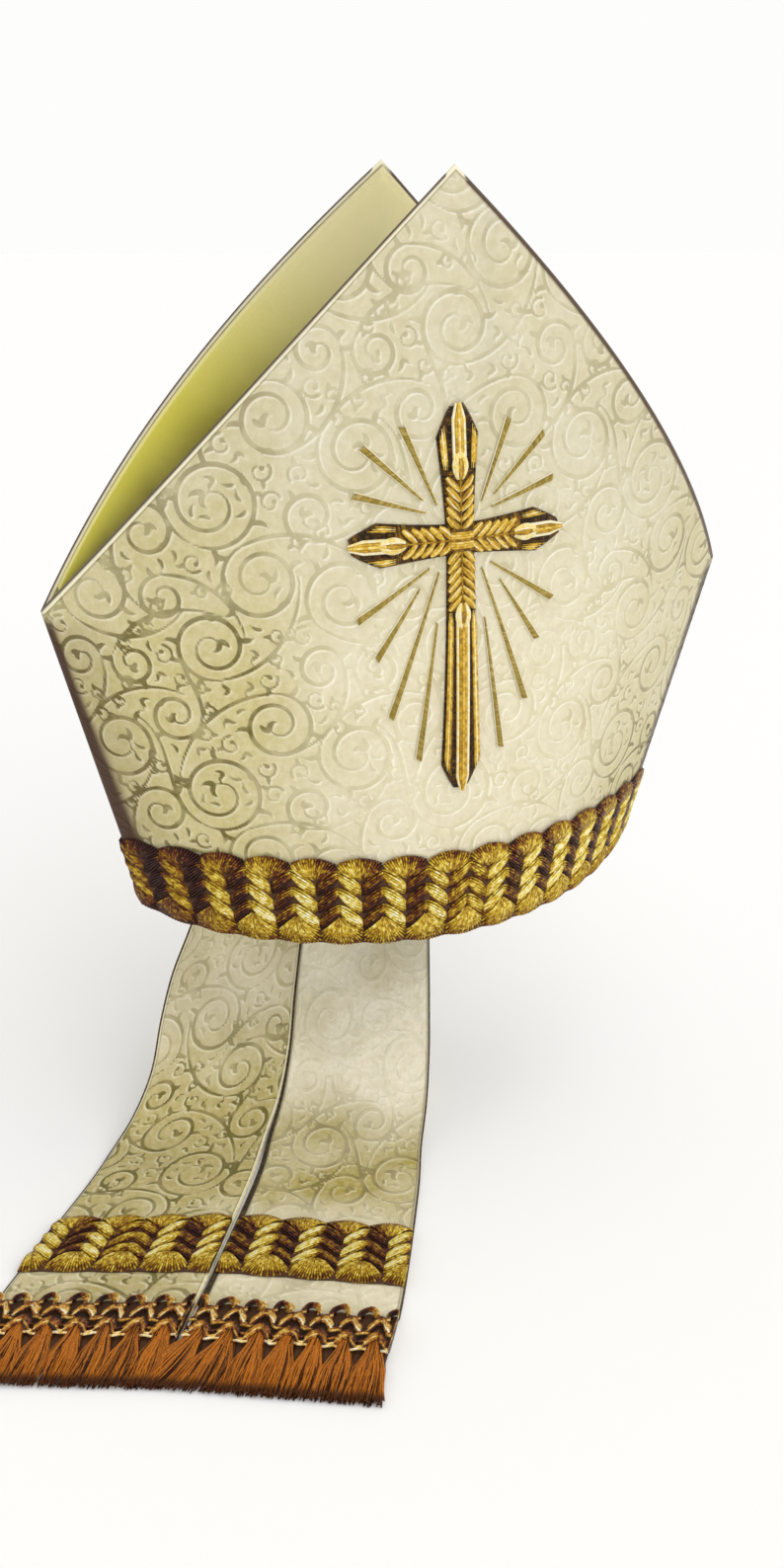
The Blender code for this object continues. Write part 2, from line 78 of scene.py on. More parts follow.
# The repeat of the woven figure, and how finely it is charted.
REPEAT_WIDE = 0.106
REPEAT_HIGH = 0.132
CHART_STEP = 0.00035
FIGURE_REACH = 0.0060

SEED = 11


# Skin of the horns. Arrays of x and z give arrays of points.
def half_depth(z):
    corner = (CORNER_HALF_DEPTH - RIM_HALF_DEPTH) / CORNER_HEIGHT
    peak = (PEAK_HALF_DEPTH - RIM_HALF_DEPTH) / PEAK_HEIGHT
    bend = (peak - corner) / GABLE_RISE
    return RIM_HALF_DEPTH + (corner - bend * CORNER_HEIGHT) * z + bend * z * z


def half_width(z):
    return RIM_HALF_WIDTH + (CORNER_HALF_WIDTH - RIM_HALF_WIDTH) * z / CORNER_HEIGHT


def offset_section(z, offset):
    wide, deep = half_width(z), half_depth(z)
    return wide + offset / np.sin(np.arctan2(2 * deep, wide)), deep + offset


def skin(side, x, z, offset):
    """Points of the front (side -1) or back (side 1) skin, this far outside the cloth."""
    wide, deep = offset_section(z, offset)
    y = side * (SEAM_GAP / 2 + deep * (1 - (x / wide) ** 2))
    return np.stack([x + 0 * y, y, z + 0 * y], axis=-1)


def arc_run(x, z):
    """Length of cloth from the centre line out to x at this height."""
    curve = 2 * half_depth(z) / half_width(z) ** 2
    return 0.5 * (x * np.sqrt(1 + (curve * x) ** 2) + np.arcsinh(curve * x) / curve)


def gable_half_width(share):
    return CORNER_HALF_WIDTH * (1 - share) * (1 + GABLE_BULGE * share)


def smooth_step(low, high, value):
    part = np.clip((value - low) / (high - low), 0.0, 1.0)
    return part * part * (3 - 2 * part)


def store_mark(mesh, mark, values):
    """Sets a mark's value at every point of a mesh."""
    layer = mesh.attributes.get(mark) or mesh.attributes.new(mark, "FLOAT", "POINT")
    layer.data.foreach_set("value", np.asarray(values).astype(np.float32))


def dressed(made, slot_name, *nodes):
    """The finished piece rides the body and replaces its nodes."""
    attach(made, "root")
    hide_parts(*nodes)
    return made


class Shell:
    """A body put together line by line, with a value for each mark at every point."""

    def __init__(self, marks=()):
        self.points = []
        self.faces = []
        self.marks = {mark: [] for mark in marks}

    def line(self, points, **marks):
        """Adds a line of points and returns their numbers."""
        first = sum(len(run) for run in self.points)
        points = np.atleast_2d(points)
        self.points.append(points)
        for mark, runs in self.marks.items():
            runs.append(np.broadcast_to(marks.get(mark, 0.0), len(points)))
        return list(range(first, first + len(points)))

    def zip(self, low, high, flip=False):
        """Triangles between two lines whose points are spread evenly, whatever their numbers."""
        i = j = 0
        low_last, high_last = len(low) - 1, len(high) - 1
        while i < low_last or j < high_last:
            low_next = (i + 1) * high_last if i < low_last else math.inf
            high_next = (j + 1) * low_last if j < high_last else math.inf
            if low_next <= high_next:
                face = (low[i], low[i + 1], high[j])
                i += 1
            else:
                face = (low[i], high[j + 1], high[j])
                j += 1
            self.faces.append(face[::-1] if flip else face)

    def cover(self, lines, flip=False):
        """Triangles over lines that follow each other."""
        for first, second in zip(lines, lines[1:]):
            self.zip(first, second, flip)

    def make(self, name, *materials):
        mesh = bpy.data.meshes.new(name)
        mesh.from_pydata(np.concatenate(self.points).tolist(), [], self.faces)
        for mark, runs in self.marks.items():
            store_mark(mesh, mark, np.concatenate(runs))
        for material in materials:
            mesh.materials.append(material)
        mesh.shade_smooth()
        made = bpy.data.objects.new(name, mesh)
        scene.collection.objects.link(made)
        return made


# The woven figure: vine scrolls, joined by stems, with leaves, sprays and tendrils. Each stroke is
# a line of points with a half width at each. A row of SCROLLS is a scroll's centre as shares of the
# repeat, its radius, its hand, the scroll that its stem runs to, and that one's repeat above it.
SCROLLS = (
    (0.000, 0.568, 0.0185, 1, 7, 0),
    (0.991, 0.098, 0.0150, -1, 2, 0),
    (0.190, 0.330, 0.0160, 1, 3, 0),
    (0.519, 0.265, 0.0158, -1, 10, 0),
    (0.655, 0.030, 0.0095, 1, 1, 0),
    (0.245, 0.833, 0.0150, -1, 0, 0),
    (0.390, 0.530, 0.0105, -1, 7, 0),
    (0.575, 0.730, 0.0165, 1, 9, 0),
    (0.735, 0.475, 0.0120, -1, 10, 0),
    (0.830, 0.850, 0.0110, -1, 1, 1),
    (0.800, 0.262, 0.0098, 1, 1, 0),
    (0.430, 0.030, 0.0098, 1, 5, -1),
)
STROKE_FULL = 0.00102
STROKE_HALF = 0.00066
STROKE_FINE = 0.00034
STROKE_WIDEST = 0.0016
STEM_EASE = 0.75
LARGE_SCROLL = 0.014
LEAF_PITCH = 0.0036
LEAF_FAT = 0.00100
HEART_FAT = 0.00110
SPRAY_FAT = 0.0007
ROOM_FOR_LEAF = 0.0040
ROOM_FOR_SPRAY = 0.0047
ROOM_FOR_TENDRIL = 0.0056
MOST_FILLERS = 120


def around(angle):
    return np.array([math.cos(angle), math.sin(angle)])


def curled(centre, radius, start, hand, turns, tightest):
    """A spiral line that winds inwards from its outer end, after part of a turn on its full radius."""
    part = np.linspace(0.0, 1.0, int(24 * turns) + 8)
    angle = start + hand * turns * 2 * math.pi * part
    reach = radius * (1 - (1 - tightest) * np.clip((part - 0.22) / 0.78, 0.0, 1.0) ** 1.1)
    return centre + reach[:, None] * np.stack([np.cos(angle), np.sin(angle)], axis=1)


def pen(count, full, fine):
    """Half widths of a pen stroke, fullest a third of the way along."""
    part = np.linspace(0.0, 1.0, count)
    return fine + (full - fine) * np.sin(math.pi * part**0.63) ** 0.8


def hermite(start, end, start_pull, end_pull, count=30):
    """A smooth line between two points that leaves and meets them along these pulls."""
    part = np.linspace(0.0, 1.0, count)[:, None]
    return (
        (2 * part**3 - 3 * part**2 + 1) * start
        + (part**3 - 2 * part**2 + part) * start_pull
        + (3 * part**2 - 2 * part**3) * end
        + (part**3 - part**2) * end_pull
    )


def leaf_stroke(root, angle, length, bend, fat):
    """A curved leaf: widest a third of the way along, pointed at its end."""
    part = np.linspace(0.0, 1.0, 12)
    turn = angle + bend * part
    steps = np.stack([np.cos(turn), np.sin(turn)], axis=1) * length / 11
    line = root + np.cumsum(steps, axis=0)
    return line, fat * np.sin(math.pi * part**0.6) ** 0.9 + 0.00012


def spray(root, angle, length, count, fat, sway=0.0):
    """Leaves that fan out from one root, longest in the middle, and curl to one side by the sway."""
    middle = (count - 1) / 2
    strokes = []
    for k in range(count):
        off = (k - middle) / max(middle, 1)
        reach = length * (1 - 0.34 * abs(off))
        strokes.append(leaf_stroke(root, angle + off * 0.95, reach, 1.1 * off + sway, fat))
    return strokes


def tendril(root, angle, radius, hand):
    """A small hooked curl that ends in a dot, with a leaf at its back."""
    centre = root + radius * around(angle)
    curl = curled(centre, radius, angle + math.pi, hand, 0.95, 0.30)
    back = curl[len(curl) // 3] - centre
    along = math.atan2(back[1], back[0])
    return [
        (curl, np.linspace(STROKE_HALF, STROKE_FINE, len(curl))),
        (curl[-1:], np.array([0.0011])),
        leaf_stroke(curl[len(curl) // 3], along - hand * 0.7, radius * 0.9, hand * 1.2, 0.0008),
    ]


def stem_between(near, near_radius, near_hand, far, far_radius, far_hand):
    """Angles at which a stem leaves one scroll and meets the other, along their common tangent."""
    gap = far - near
    distance = np.linalg.norm(gap)
    turn_near, turn_far = -near_hand, far_hand
    lean = math.asin(np.clip((turn_far * far_radius - turn_near * near_radius) / distance, -0.95, 0.95))
    heading = math.atan2(gap[1], gap[0]) - lean
    side = heading + math.pi / 2
    leave = side + (math.pi if turn_near > 0 else 0.0) - turn_near * STEM_EASE
    meet = side + (math.pi if turn_far > 0 else 0.0) + turn_far * STEM_EASE
    return leave, meet


def scroll_strokes():
    """The main scrolls with their stems and leaves."""
    size = np.array([REPEAT_WIDE, REPEAT_HIGH])
    strokes = []
    for across, up, radius, hand, towards, above in SCROLLS:
        near = np.array([across, up]) * size
        other = SCROLLS[towards]
        gap = np.array([other[0] - across, other[1] - up + above])
        gap[0] -= round(gap[0])
        far = near + gap * size
        leave, meet = stem_between(near, radius, hand, far, other[2], other[3])
        first, last = near + radius * around(leave), far + other[2] * around(meet)
        pull = 1.05 * np.linalg.norm(last - first) + 0.005
        away = -hand * around(leave + math.pi / 2)
        onto = other[3] * around(meet + math.pi / 2)
        stem = hermite(first, last, away * pull, onto * pull)
        strokes.append((stem, pen(len(stem), STROKE_FULL * 0.85, STROKE_FINE)))
        turns = 1.62 if radius > LARGE_SCROLL else 1.25
        line = curled(near, radius, leave, hand, turns, 0.24)
        strokes.append((line, pen(len(line), STROKE_FULL, STROKE_FINE)))
        inward = leave + hand * turns * 2 * math.pi + hand * 1.9
        strokes += spray(line[-1], inward - hand * 0.6, radius * 0.50, 2, HEART_FAT, 1.9 * hand)
        leaves = int(radius / LEAF_PITCH)
        for i in range(leaves):
            place = int((0.05 + 0.52 * i / leaves) * len(line))
            back = line[place] - near
            along = math.atan2(back[1], back[0])
            outer = i % 3 != 2
            lean = hand * (0.95 if outer else 2.3)
            length = radius * (0.38 if outer else 0.28) + 0.0012
            strokes.append(leaf_stroke(line[place], along + lean, length, -1.5 * hand, LEAF_FAT))
        middle = len(stem) // 2
        run = stem[middle + 1] - stem[middle - 1]
        heading = math.atan2(run[1], run[0])
        strokes += tendril(stem[middle], heading + 1.1, 0.0036, -1)
        strokes += tendril(stem[middle - 4], heading - 1.1, 0.0030, 1)
    return strokes


def dense(line, width, step=0.0004):
    """The same stroke with points close together."""
    if len(line) < 2:
        return line, width
    run = np.concatenate([[0.0], np.cumsum(np.linalg.norm(np.diff(line, axis=0), axis=1))])
    places = np.linspace(0.0, run[-1], max(2, int(run[-1] / step)))
    finer = np.stack([np.interp(places, run, line[:, i]) for i in (0, 1)], axis=1)
    return finer, np.interp(places, run, width)


def draw(chart, strokes):
    """Lowers the chart to the distance to these strokes' edges, negative inside them."""
    high, wide = chart.shape
    reach = int((FIGURE_REACH + STROKE_WIDEST) / CHART_STEP)
    steps = np.arange(-reach, reach + 1)
    for stroke in strokes:
        for (x, y), half in zip(*dense(*stroke)):
            columns, rows = int(x / CHART_STEP) + steps, int(y / CHART_STEP) + steps
            gap = np.hypot((columns * CHART_STEP - x)[None, :], (rows * CHART_STEP - y)[:, None]) - half
            place = np.ix_(rows % high, columns % wide)
            chart[place] = np.minimum(chart[place], gap)


def fill_gaps(chart, chance):
    """Tendrils, sprays and leaves where the repeat is still empty, the emptiest place first."""
    for _ in range(MOST_FILLERS):
        row, column = np.unravel_index(np.argmax(chart + 1e-5 * chance.random(chart.shape)), chart.shape)
        room = chart[row, column]
        if room < ROOM_FOR_LEAF:
            break
        centre = np.array([column, row]) * CHART_STEP
        angle = chance.random() * 2 * math.pi
        hand = 1 if chance.random() < 0.5 else -1
        if room > ROOM_FOR_TENDRIL:
            strokes = tendril(centre - 0.0044 * around(angle), angle, 0.0044, hand)
        elif room > ROOM_FOR_SPRAY:
            strokes = spray(centre - 0.0030 * around(angle), angle, 0.0062, 2, SPRAY_FAT, 1.5 * hand)
        else:
            root = centre - 0.0028 * around(angle)
            strokes = [leaf_stroke(root, angle - 0.6 * hand, 0.0064, 1.5 * hand, SPRAY_FAT)]
        draw(chart, strokes)


def figure_chart():
    chart = np.full((round(REPEAT_HIGH / CHART_STEP), round(REPEAT_WIDE / CHART_STEP)), FIGURE_REACH)
    draw(chart, scroll_strokes())
    fill_gaps(chart, np.random.default_rng(SEED))
    return chart


FIGURE_CHART = figure_chart()


def figure_at(across, up):
    """The chart read at these places on the cloth, in metres."""
    high, wide = FIGURE_CHART.shape
    column, row = across / CHART_STEP, up / CHART_STEP
    left, low = np.floor(column).astype(int), np.floor(row).astype(int)
    part_x, part_y = column - left, row - low

    def at(i, j):
        return FIGURE_CHART[j % high, i % wide]

    lower = at(left, low) * (1 - part_x) + at(left + 1, low) * part_x
    upper = at(left, low + 1) * (1 - part_x) + at(left + 1, low + 1) * part_x
    return lower * (1 - part_y) + upper * part_y


def figure_marks(across, up):
    """Marks of the brocade at these places: the figure, and the figure again, shifted, for a painted
    highlight beside it.
    """
    beside = 0.00075
    return {"figure": figure_at(across, up) * 1000, "lit": figure_at(across - beside, up + beside) * 1000}


def ripple(across, up):
    """Slow waves of padded cloth."""
    return (
        np.sin(across * 61.0 + 1.3) * np.sin(up * 47.0 + 0.4)
        + 0.6 * np.sin(across * 103.0 + up * 71.0)
        + 0.4 * np.sin(up * 131.0 - across * 39.0 + 2.0)
    )


# Shader helpers.
def colour(hex_code):
    """A linear colour from its usual sRGB code."""
    parts = [int(hex_code[i:i + 2], 16) / 255 for i in (0, 2, 4)]
    return tuple(p / 12.92 if p <= 0.04045 else ((p + 0.055) / 1.055) ** 2.4 for p in parts) + (1.0,)


class Recipe:
    """Short words for wiring one shader tree."""

    def __init__(self, tree):
        self.tree = tree

    def node(self, kind, **settings):
        """A new node. A setting that starts with in_ is the plain value of one of its sockets."""
        node = self.tree.nodes.new(kind)
        for key, value in settings.items():
            if key.startswith("in_"):
                node.inputs[key[3:]].default_value = value
            else:
                setattr(node, key, value)
        return node

    def wire(self, source, target):
        self.tree.links.new(source, target)

    def value(self, source, socket):
        if isinstance(source, bpy.types.NodeSocket):
            self.wire(source, socket)
        else:
            socket.default_value = source

    def math(self, operation, first, second=0.0, clamp=False):
        node = self.node("ShaderNodeMath", operation=operation, use_clamp=clamp)
        self.value(first, node.inputs[0])
        self.value(second, node.inputs[1])
        return node.outputs[0]

    def times(self, first, second):
        return self.math("MULTIPLY", first, second)

    def plus(self, first, second, clamp=False):
        return self.math("ADD", first, second, clamp)

    def minus(self, first, second):
        return self.math("SUBTRACT", first, second)

    def ramp(self, source, low, high, from_value=0.0, to_value=1.0):
        """Smooth change from one value to another while the source goes from low to high."""
        node = self.node("ShaderNodeMapRange", interpolation_type="SMOOTHSTEP")
        self.value(source, node.inputs["Value"])
        ends = {"From Min": low, "From Max": high, "To Min": from_value, "To Max": to_value}
        for socket, number in ends.items():
            self.value(number, node.inputs[socket])
        return node.outputs[0]

    def mix(self, share, first, second, kind="MIX"):
        node = self.node("ShaderNodeMix", data_type="RGBA", blend_type=kind, clamp_factor=True)
        self.value(share, node.inputs["Factor"])
        self.value(first, node.inputs[6])
        self.value(second, node.inputs[7])
        return node.outputs[2]

    def mark(self, name):
        return self.node("ShaderNodeAttribute", attribute_name=name).outputs["Fac"]

    def place(self):
        return self.node("ShaderNodeTexCoord").outputs["Object"]

    def noise(self, vector, scale, detail=2.0, roughness=0.5):
        node = self.node("ShaderNodeTexNoise", in_Detail=detail, in_Roughness=roughness)
        self.value(scale, node.inputs["Scale"])
        self.value(vector, node.inputs["Vector"])
        return node.outputs["Fac"]

    def group(self, group, **inputs):
        node = self.node("ShaderNodeGroup", node_tree=group)
        for key, value in inputs.items():
            self.value(value, node.inputs[key.replace("_", " ")])
        return node

    def bump(self, height, distance, strength):
        node = self.node("ShaderNodeBump", in_Distance=distance, in_Strength=strength)
        self.value(height, node.inputs["Height"])
        return node.outputs["Normal"]


SOCKETS = {
    "value": "NodeSocketFloat",
    "vector": "NodeSocketVector",
    "count": "NodeSocketInt",
    "material": "NodeSocketMaterial",
    "geometry": "NodeSocketGeometry",
}


def new_group(name, kind, inputs, outputs):
    """An empty node group with named sockets, and its recipe and ends."""
    group = bpy.data.node_groups.new(name, kind)
    for way, sockets in (("INPUT", inputs), ("OUTPUT", outputs)):
        for socket_name, socket in sockets.items():
            group.interface.new_socket(socket_name, in_out=way, socket_type=SOCKETS[socket])
    recipe = Recipe(group)
    return group, recipe, recipe.node("NodeGroupInput"), recipe.node("NodeGroupOutput")


def new_material(name):
    material = bpy.data.materials.new(name)
    material.use_nodes = True
    recipe = Recipe(material.node_tree)
    return material, recipe, material.node_tree.nodes["Principled BSDF"]


def set_plain(node, **values):
    """Sets plain values on a node's own sockets."""
    for key, value in values.items():
        node.inputs[key.replace("_", " ")].default_value = value


def weave_group():
    """Fine cloth threads: a height and a small unevenness of tone."""
    inputs, outputs = {"Place": "vector", "Thread": "value"}, {"Height": "value", "Tone": "value"}
    group, r, start, end = new_group("weave", "ShaderNodeTree", inputs, outputs)
    turns = r.math("DIVIDE", 2 * math.pi, start.outputs["Thread"])
    parts = r.node("ShaderNodeSeparateXYZ")
    r.wire(start.outputs["Place"], parts.inputs[0])
    warp = r.math("SINE", r.times(r.plus(parts.outputs["X"], parts.outputs["Y"]), turns))
    weft = r.math("SINE", r.times(parts.outputs["Z"], turns))
    slub = r.noise(start.outputs["Place"], 420.0, 3.0, 0.6)
    r.wire(r.plus(r.times(r.times(warp, weft), 0.35), slub), end.inputs["Height"])
    r.wire(slub, end.inputs["Tone"])
    return group


def mottle_group():
    """Soft and fine patches, each from 0 to 1, for uneven colour."""
    inputs, outputs = {"Place": "vector", "Size": "value"}, {"Soft": "value", "Fine": "value"}
    group, r, start, end = new_group("mottle", "ShaderNodeTree", inputs, outputs)
    place, scale = start.outputs["Place"], r.math("DIVIDE", 1.0, start.outputs["Size"])
    finer = r.times(scale, 9.0)
    r.wire(r.ramp(r.noise(place, scale), 0.3, 0.7), end.inputs["Soft"])
    r.wire(r.ramp(r.noise(place, finer, 3.0, 0.65), 0.3, 0.7), end.inputs["Fine"])
    return group


WEAVE = weave_group()
MOTTLE = mottle_group()


# The brocade. Its marks figure, lit and edge are in millimetres, out from a stroke or in from an edge.
FIGURE_EDGE = (0.30, -0.22)
LIT_EDGE = (0.45, -0.10)
FOLD_START = (1.4, 1.9)
FOLD_LINE_END = (2.6, 2.1)
SLUB_CREAM = "EEE5C8"
# Painted shade in the hollows of the fine crinkles.
CRINKLE_SHADE_TAN = "B3A56C"
# Painted highlights beside the figure, where the cloth is lit and where it is in painted shade.
HIGHLIGHT_IN_LIGHT = "F8F3E0"
HIGHLIGHT_IN_SHADE = "E4DCB6"
WEAVE_OLIVE = "A99F70"
# A painted highlight where a turned edge catches the light, and a painted shadow line beside it.
FOLD_HIGHLIGHT_CREAM = "F4EDCB"
FOLD_SHADOW_BROWN = "6F6132"
# A tint that dims the cloth: on the horns painted shade and a greyer top, on the lappets between patches of
# painted sheen. Then a brown for painted shade along the seams.
DIMMING_TINT = (0.82, 0.83, 0.90, 1.0)
PAINTED_SHADE_BROWN = "402408"


def brocade_material(name, painted_shading, lit_ground, painted_light, scroll_in_shade, scroll_in_light):
    """Ivory brocade, in a lit and a painted-shade copy of its colours. Its second argument says where
    painted shade turns the cloth olive, and where the cloth is dimmed.
    """
    material, r, shader = new_material(name)
    place = r.place()
    mottle = r.group(MOTTLE, Place=place, Size=0.030)
    weave = r.group(WEAVE, Place=place, Thread=0.0009)
    painted_shade_share, dimming = painted_shading(r, place)
    # The painted shade, made uneven with soft mottling, mixes the lit ground into the shaded one.
    uneven = r.times(r.minus(mottle.outputs["Soft"], 0.5), 0.35)
    shade_and_mottle = r.plus(painted_shade_share, uneven, clamp=True)
    ground = r.mix(shade_and_mottle, colour(lit_ground), colour(painted_light))
    ground = r.mix(r.times(mottle.outputs["Fine"], 0.30), ground, colour(SLUB_CREAM))
    # Fine crinkles in the relief, with painted shade in their hollows.
    crinkle = r.noise(place, 210.0, 3.0, 0.62)
    ground = r.mix(r.ramp(crinkle, 0.52, 0.30, 0.0, 0.22), ground, colour(CRINKLE_SHADE_TAN))

    # The figure comes and goes, is fuller and takes its shaded colour in the painted shade, and has a
    # painted highlight beside it.
    inside = r.ramp(r.mark("figure"), *FIGURE_EDGE)
    beside = r.times(r.ramp(r.mark("lit"), *LIT_EDGE), r.minus(1.0, inside))
    lit = r.mix(shade_and_mottle, colour(HIGHLIGHT_IN_LIGHT), colour(HIGHLIGHT_IN_SHADE))
    scroll = r.mix(shade_and_mottle, colour(scroll_in_light), colour(scroll_in_shade))
    present = r.ramp(r.noise(place, 74.0, 3.0), 0.38, 0.58)
    body = r.mix(r.times(beside, r.plus(0.40, r.times(present, 0.30))), ground, lit)
    fullness = r.plus(r.plus(0.10, r.times(present, 0.46)), r.times(shade_and_mottle, 0.5))
    body = r.mix(r.times(inside, fullness), body, scroll)
    body = r.mix(r.times(r.ramp(weave.outputs["Tone"], 0.35, 0.65), 0.16), body, colour(WEAVE_OLIVE))

    # Turned edges get a painted cream highlight where the fold catches the light, with a fine brown painted
    # shadow line along their fold.
    past_fold = r.ramp(r.mark("edge"), *FOLD_START)
    body = r.mix(r.ramp(r.mark("edge"), *FOLD_START[::-1]), body, colour(FOLD_HIGHLIGHT_CREAM))
    line = r.times(past_fold, r.ramp(r.mark("edge"), *FOLD_LINE_END))
    body = r.mix(r.times(line, 0.45), body, colour(FOLD_SHADOW_BROWN))
    # Dimming as the second argument gives it, then painted shade along the seams and a painted shadow line
    # up the right gable.
    body = r.mix(dimming, body, DIMMING_TINT, kind="MULTIPLY")
    body = r.mix(r.mark("shade"), body, colour(PAINTED_SHADE_BROWN))
    r.wire(body, shader.inputs["Base Color"])
    r.wire(r.plus(0.50, r.times(inside, 0.16)), shader.inputs["Roughness"])
    set_plain(shader, Sheen_Weight=0.15, Specular_IOR_Level=0.35)
    height = r.plus(r.times(inside, 0.45), r.times(weave.outputs["Height"], 0.22))
    height = r.plus(height, r.times(crinkle, 0.9))
    r.wire(r.bump(height, 0.0006, 0.6), shader.inputs["Normal"])
    return material


# Where the horns get painted shade, where they grow greyer towards the top, and the centre crease painted
# darker, in metres across or up, from where each starts to where it is full.
PAINTED_SHADE_LEFT = (-0.036, -0.098)
PAINTED_SHADE_RIGHT = (0.050, 0.140)
PAINTED_SHADE_LOW = (0.11, 0.04)
DIMMING_HIGH = (0.12, 0.25)
CREASE_LEFT = (0.004, 0.012)
CREASE_RIGHT = (0.026, 0.013)
CREASE_HIGH = (0.235, 0.27)


def horn_painted_shading(r, place):
    """Painted shade: olive where the cloth turns from the light, to the left and low down at the right,
    pale at the centre; greyer towards the top, and painted shade down the centre crease.
    """
    parts = r.node("ShaderNodeSeparateXYZ")
    r.wire(place, parts.inputs[0])
    across, up = parts.outputs["X"], parts.outputs["Z"]
    high = r.ramp(up, *DIMMING_HIGH)
    left = r.times(r.ramp(across, *PAINTED_SHADE_LEFT), r.minus(1.0, r.times(high, 0.4)))
    right = r.times(r.ramp(across, *PAINTED_SHADE_RIGHT), r.plus(0.50, r.times(r.ramp(up, *PAINTED_SHADE_LOW), 0.80)))
    # Painted shade down the centre crease.
    crease = r.times(r.ramp(across, *CREASE_LEFT), r.ramp(across, *CREASE_RIGHT))
    crease = r.times(crease, r.ramp(up, *CREASE_HIGH))
    painted_light = r.plus(r.times(left, 0.10), r.times(right, 0.35))
    dimming = r.plus(r.plus(r.times(high, 0.52), r.times(crease, 0.22)), painted_light, clamp=True)
    return r.math("MAXIMUM", left, r.math("MAXIMUM", r.times(high, 0.26), right)), dimming


# The horns. Both faces of the wall are laid out in lines from the rim to the peak. A band of painted shade
# runs from where it starts to where it is full, in metres from the seam or millimetres from the gable.
NO_FIGURE = {"figure": 3.0, "lit": 3.0}
SQUARE_TO_GABLE = 0.75
LEFT_SHADE_TOP = 0.0042
LEFT_SHADE_GROWTH = 0.0064
LEFT_HAZE = (0.032, 0.006)
RIGHT_SEAM_SHADE = (0.0085, 0.0030)
GABLE_SHADOW_LINE = (3.1, 2.1)
GABLE_SHADOW_FROM = 0.004
SEAM_SHADE_ABOVE, SEAM_SHADE_FULL = CORNER_HEIGHT + 0.002, CORNER_HEIGHT - 0.008


def grain_steps(length):
    """Fine steps in this length, a whole number of coarse ones."""
    return BACKING_COARSER * round(length / PANEL_GRAIN / BACKING_COARSER)


LOWER_STEPS = grain_steps(CORNER_HEIGHT)
UPPER_STEPS = grain_steps(GABLE_RISE)
ACROSS_STEPS = grain_steps(RIM_HALF_WIDTH + CORNER_HALF_WIDTH)


def lower_height(share, part, inset):
    """Height of the wall part of the way up from the rim's curve to the corners."""
    foot = RIM_SIDE_RISE * np.abs(share) ** RIM_RISE_POWER + inset
    return foot * (1 - part) + (CORNER_HEIGHT - inset * 0.5) * part


def lower_width(z, offset, inset):
    return offset_section(z, offset)[0] - inset


def gable_edge(part, offset, inset):
    """Height and half width of the gable part of the way up from the corners to the peak."""
    z = CORNER_HEIGHT - inset * 0.5 + (GABLE_RISE - inset * (GABLE_DRAW - 0.5)) * part
    wide = gable_half_width((z + GABLE_DRAW * inset - CORNER_HEIGHT) / GABLE_RISE)
    return z, np.maximum(np.minimum(wide, lower_width(z, offset, inset)), 0.0)


def gable_distance(x, z):
    """Millimetres in from the gable's edge, and far for what lies below the corners."""
    share = np.clip((z - CORNER_HEIGHT) / GABLE_RISE, 0.0, 1.0)
    below = np.where(z < CORNER_HEIGHT, (CORNER_HEIGHT - z) * 1500, 0.0)
    return (gable_half_width(share) - np.abs(x)) * 1000 * SQUARE_TO_GABLE + below


def seam_shade(share, x, z):
    """Painted shade along the side seams where the cloth turns from the light, broad at the left, and a
    painted shadow line up the right gable.
    """
    inward = (1 - np.abs(share)) * half_width(np.asarray(z, float)) + 0 * x
    below = smooth_step(SEAM_SHADE_ABOVE, SEAM_SHADE_FULL, z)
    broad = LEFT_SHADE_TOP + LEFT_SHADE_GROWTH * smooth_step(CORNER_HEIGHT, 0.03, z)
    left = smooth_step(broad, 0.25 * broad, inward) + 0.24 * smooth_step(*LEFT_HAZE, inward)
    left = np.minimum(left, 1.0) * (np.asarray(share) < 0)
    right = smooth_step(*RIGHT_SEAM_SHADE, inward) * (np.asarray(share) > 0)
    gable = smooth_step(*GABLE_SHADOW_LINE, gable_distance(x, z)) * (x > GABLE_SHADOW_FROM) * (z > CORNER_HEIGHT)
    return np.maximum((left + 0.95 * right) * below, 0.95 * gable)


def horn_rows(coarser, offset):
    """Lines from the rim to the peak on one face of the wall: x, z and the share of the half width."""
    lower, upper = LOWER_STEPS // coarser, UPPER_STEPS // coarser
    share = np.linspace(-1.0, 1.0, ACROSS_STEPS // coarser + 1)
    for i in range(lower + 1):
        z = lower_height(share, i / lower, EDGE_ROUND)
        yield share * lower_width(z, offset, EDGE_ROUND), z, share
    for i in range(1, upper + 1):
        z, wide = gable_edge(i / upper, offset, EDGE_ROUND)
        count = max(2, round(2 * wide / (PANEL_GRAIN * coarser)) + 1) if i < upper else 1
        share = np.linspace(-1.0, 1.0, count) if count > 1 else np.zeros(1)
        yield share * wide, np.full(count, z), share


def horn_face(shell, side, coarser, offset, figured):
    """One face of the wall, with the woven figure and soft waves in its relief if it is figured."""
    lines = []
    for x, z, share in horn_rows(coarser, offset):
        marks = {"edge": gable_distance(x, z), "shade": seam_shade(share, x, z), **NO_FIGURE}
        out = offset
        if figured:
            across = arc_run(x, z)
            marks.update(figure_marks(across, z))
            away = np.minimum(1.0, marks["edge"] / 6.0) * (1 - np.abs(share) ** 12)
            inside = smooth_step(*FIGURE_EDGE, marks["figure"])
            out = offset + FIGURE_RAISE * inside + CLOTH_RIPPLE * ripple(across, z) * away
        lines.append(shell.line(skin(side, x, z, out), **marks))
    return lines


def outline(lines):
    """The three runs of one face's edge: foot, right side up, left side up."""
    return lines[0], [line[-1] for line in lines], [line[0] for line in lines]


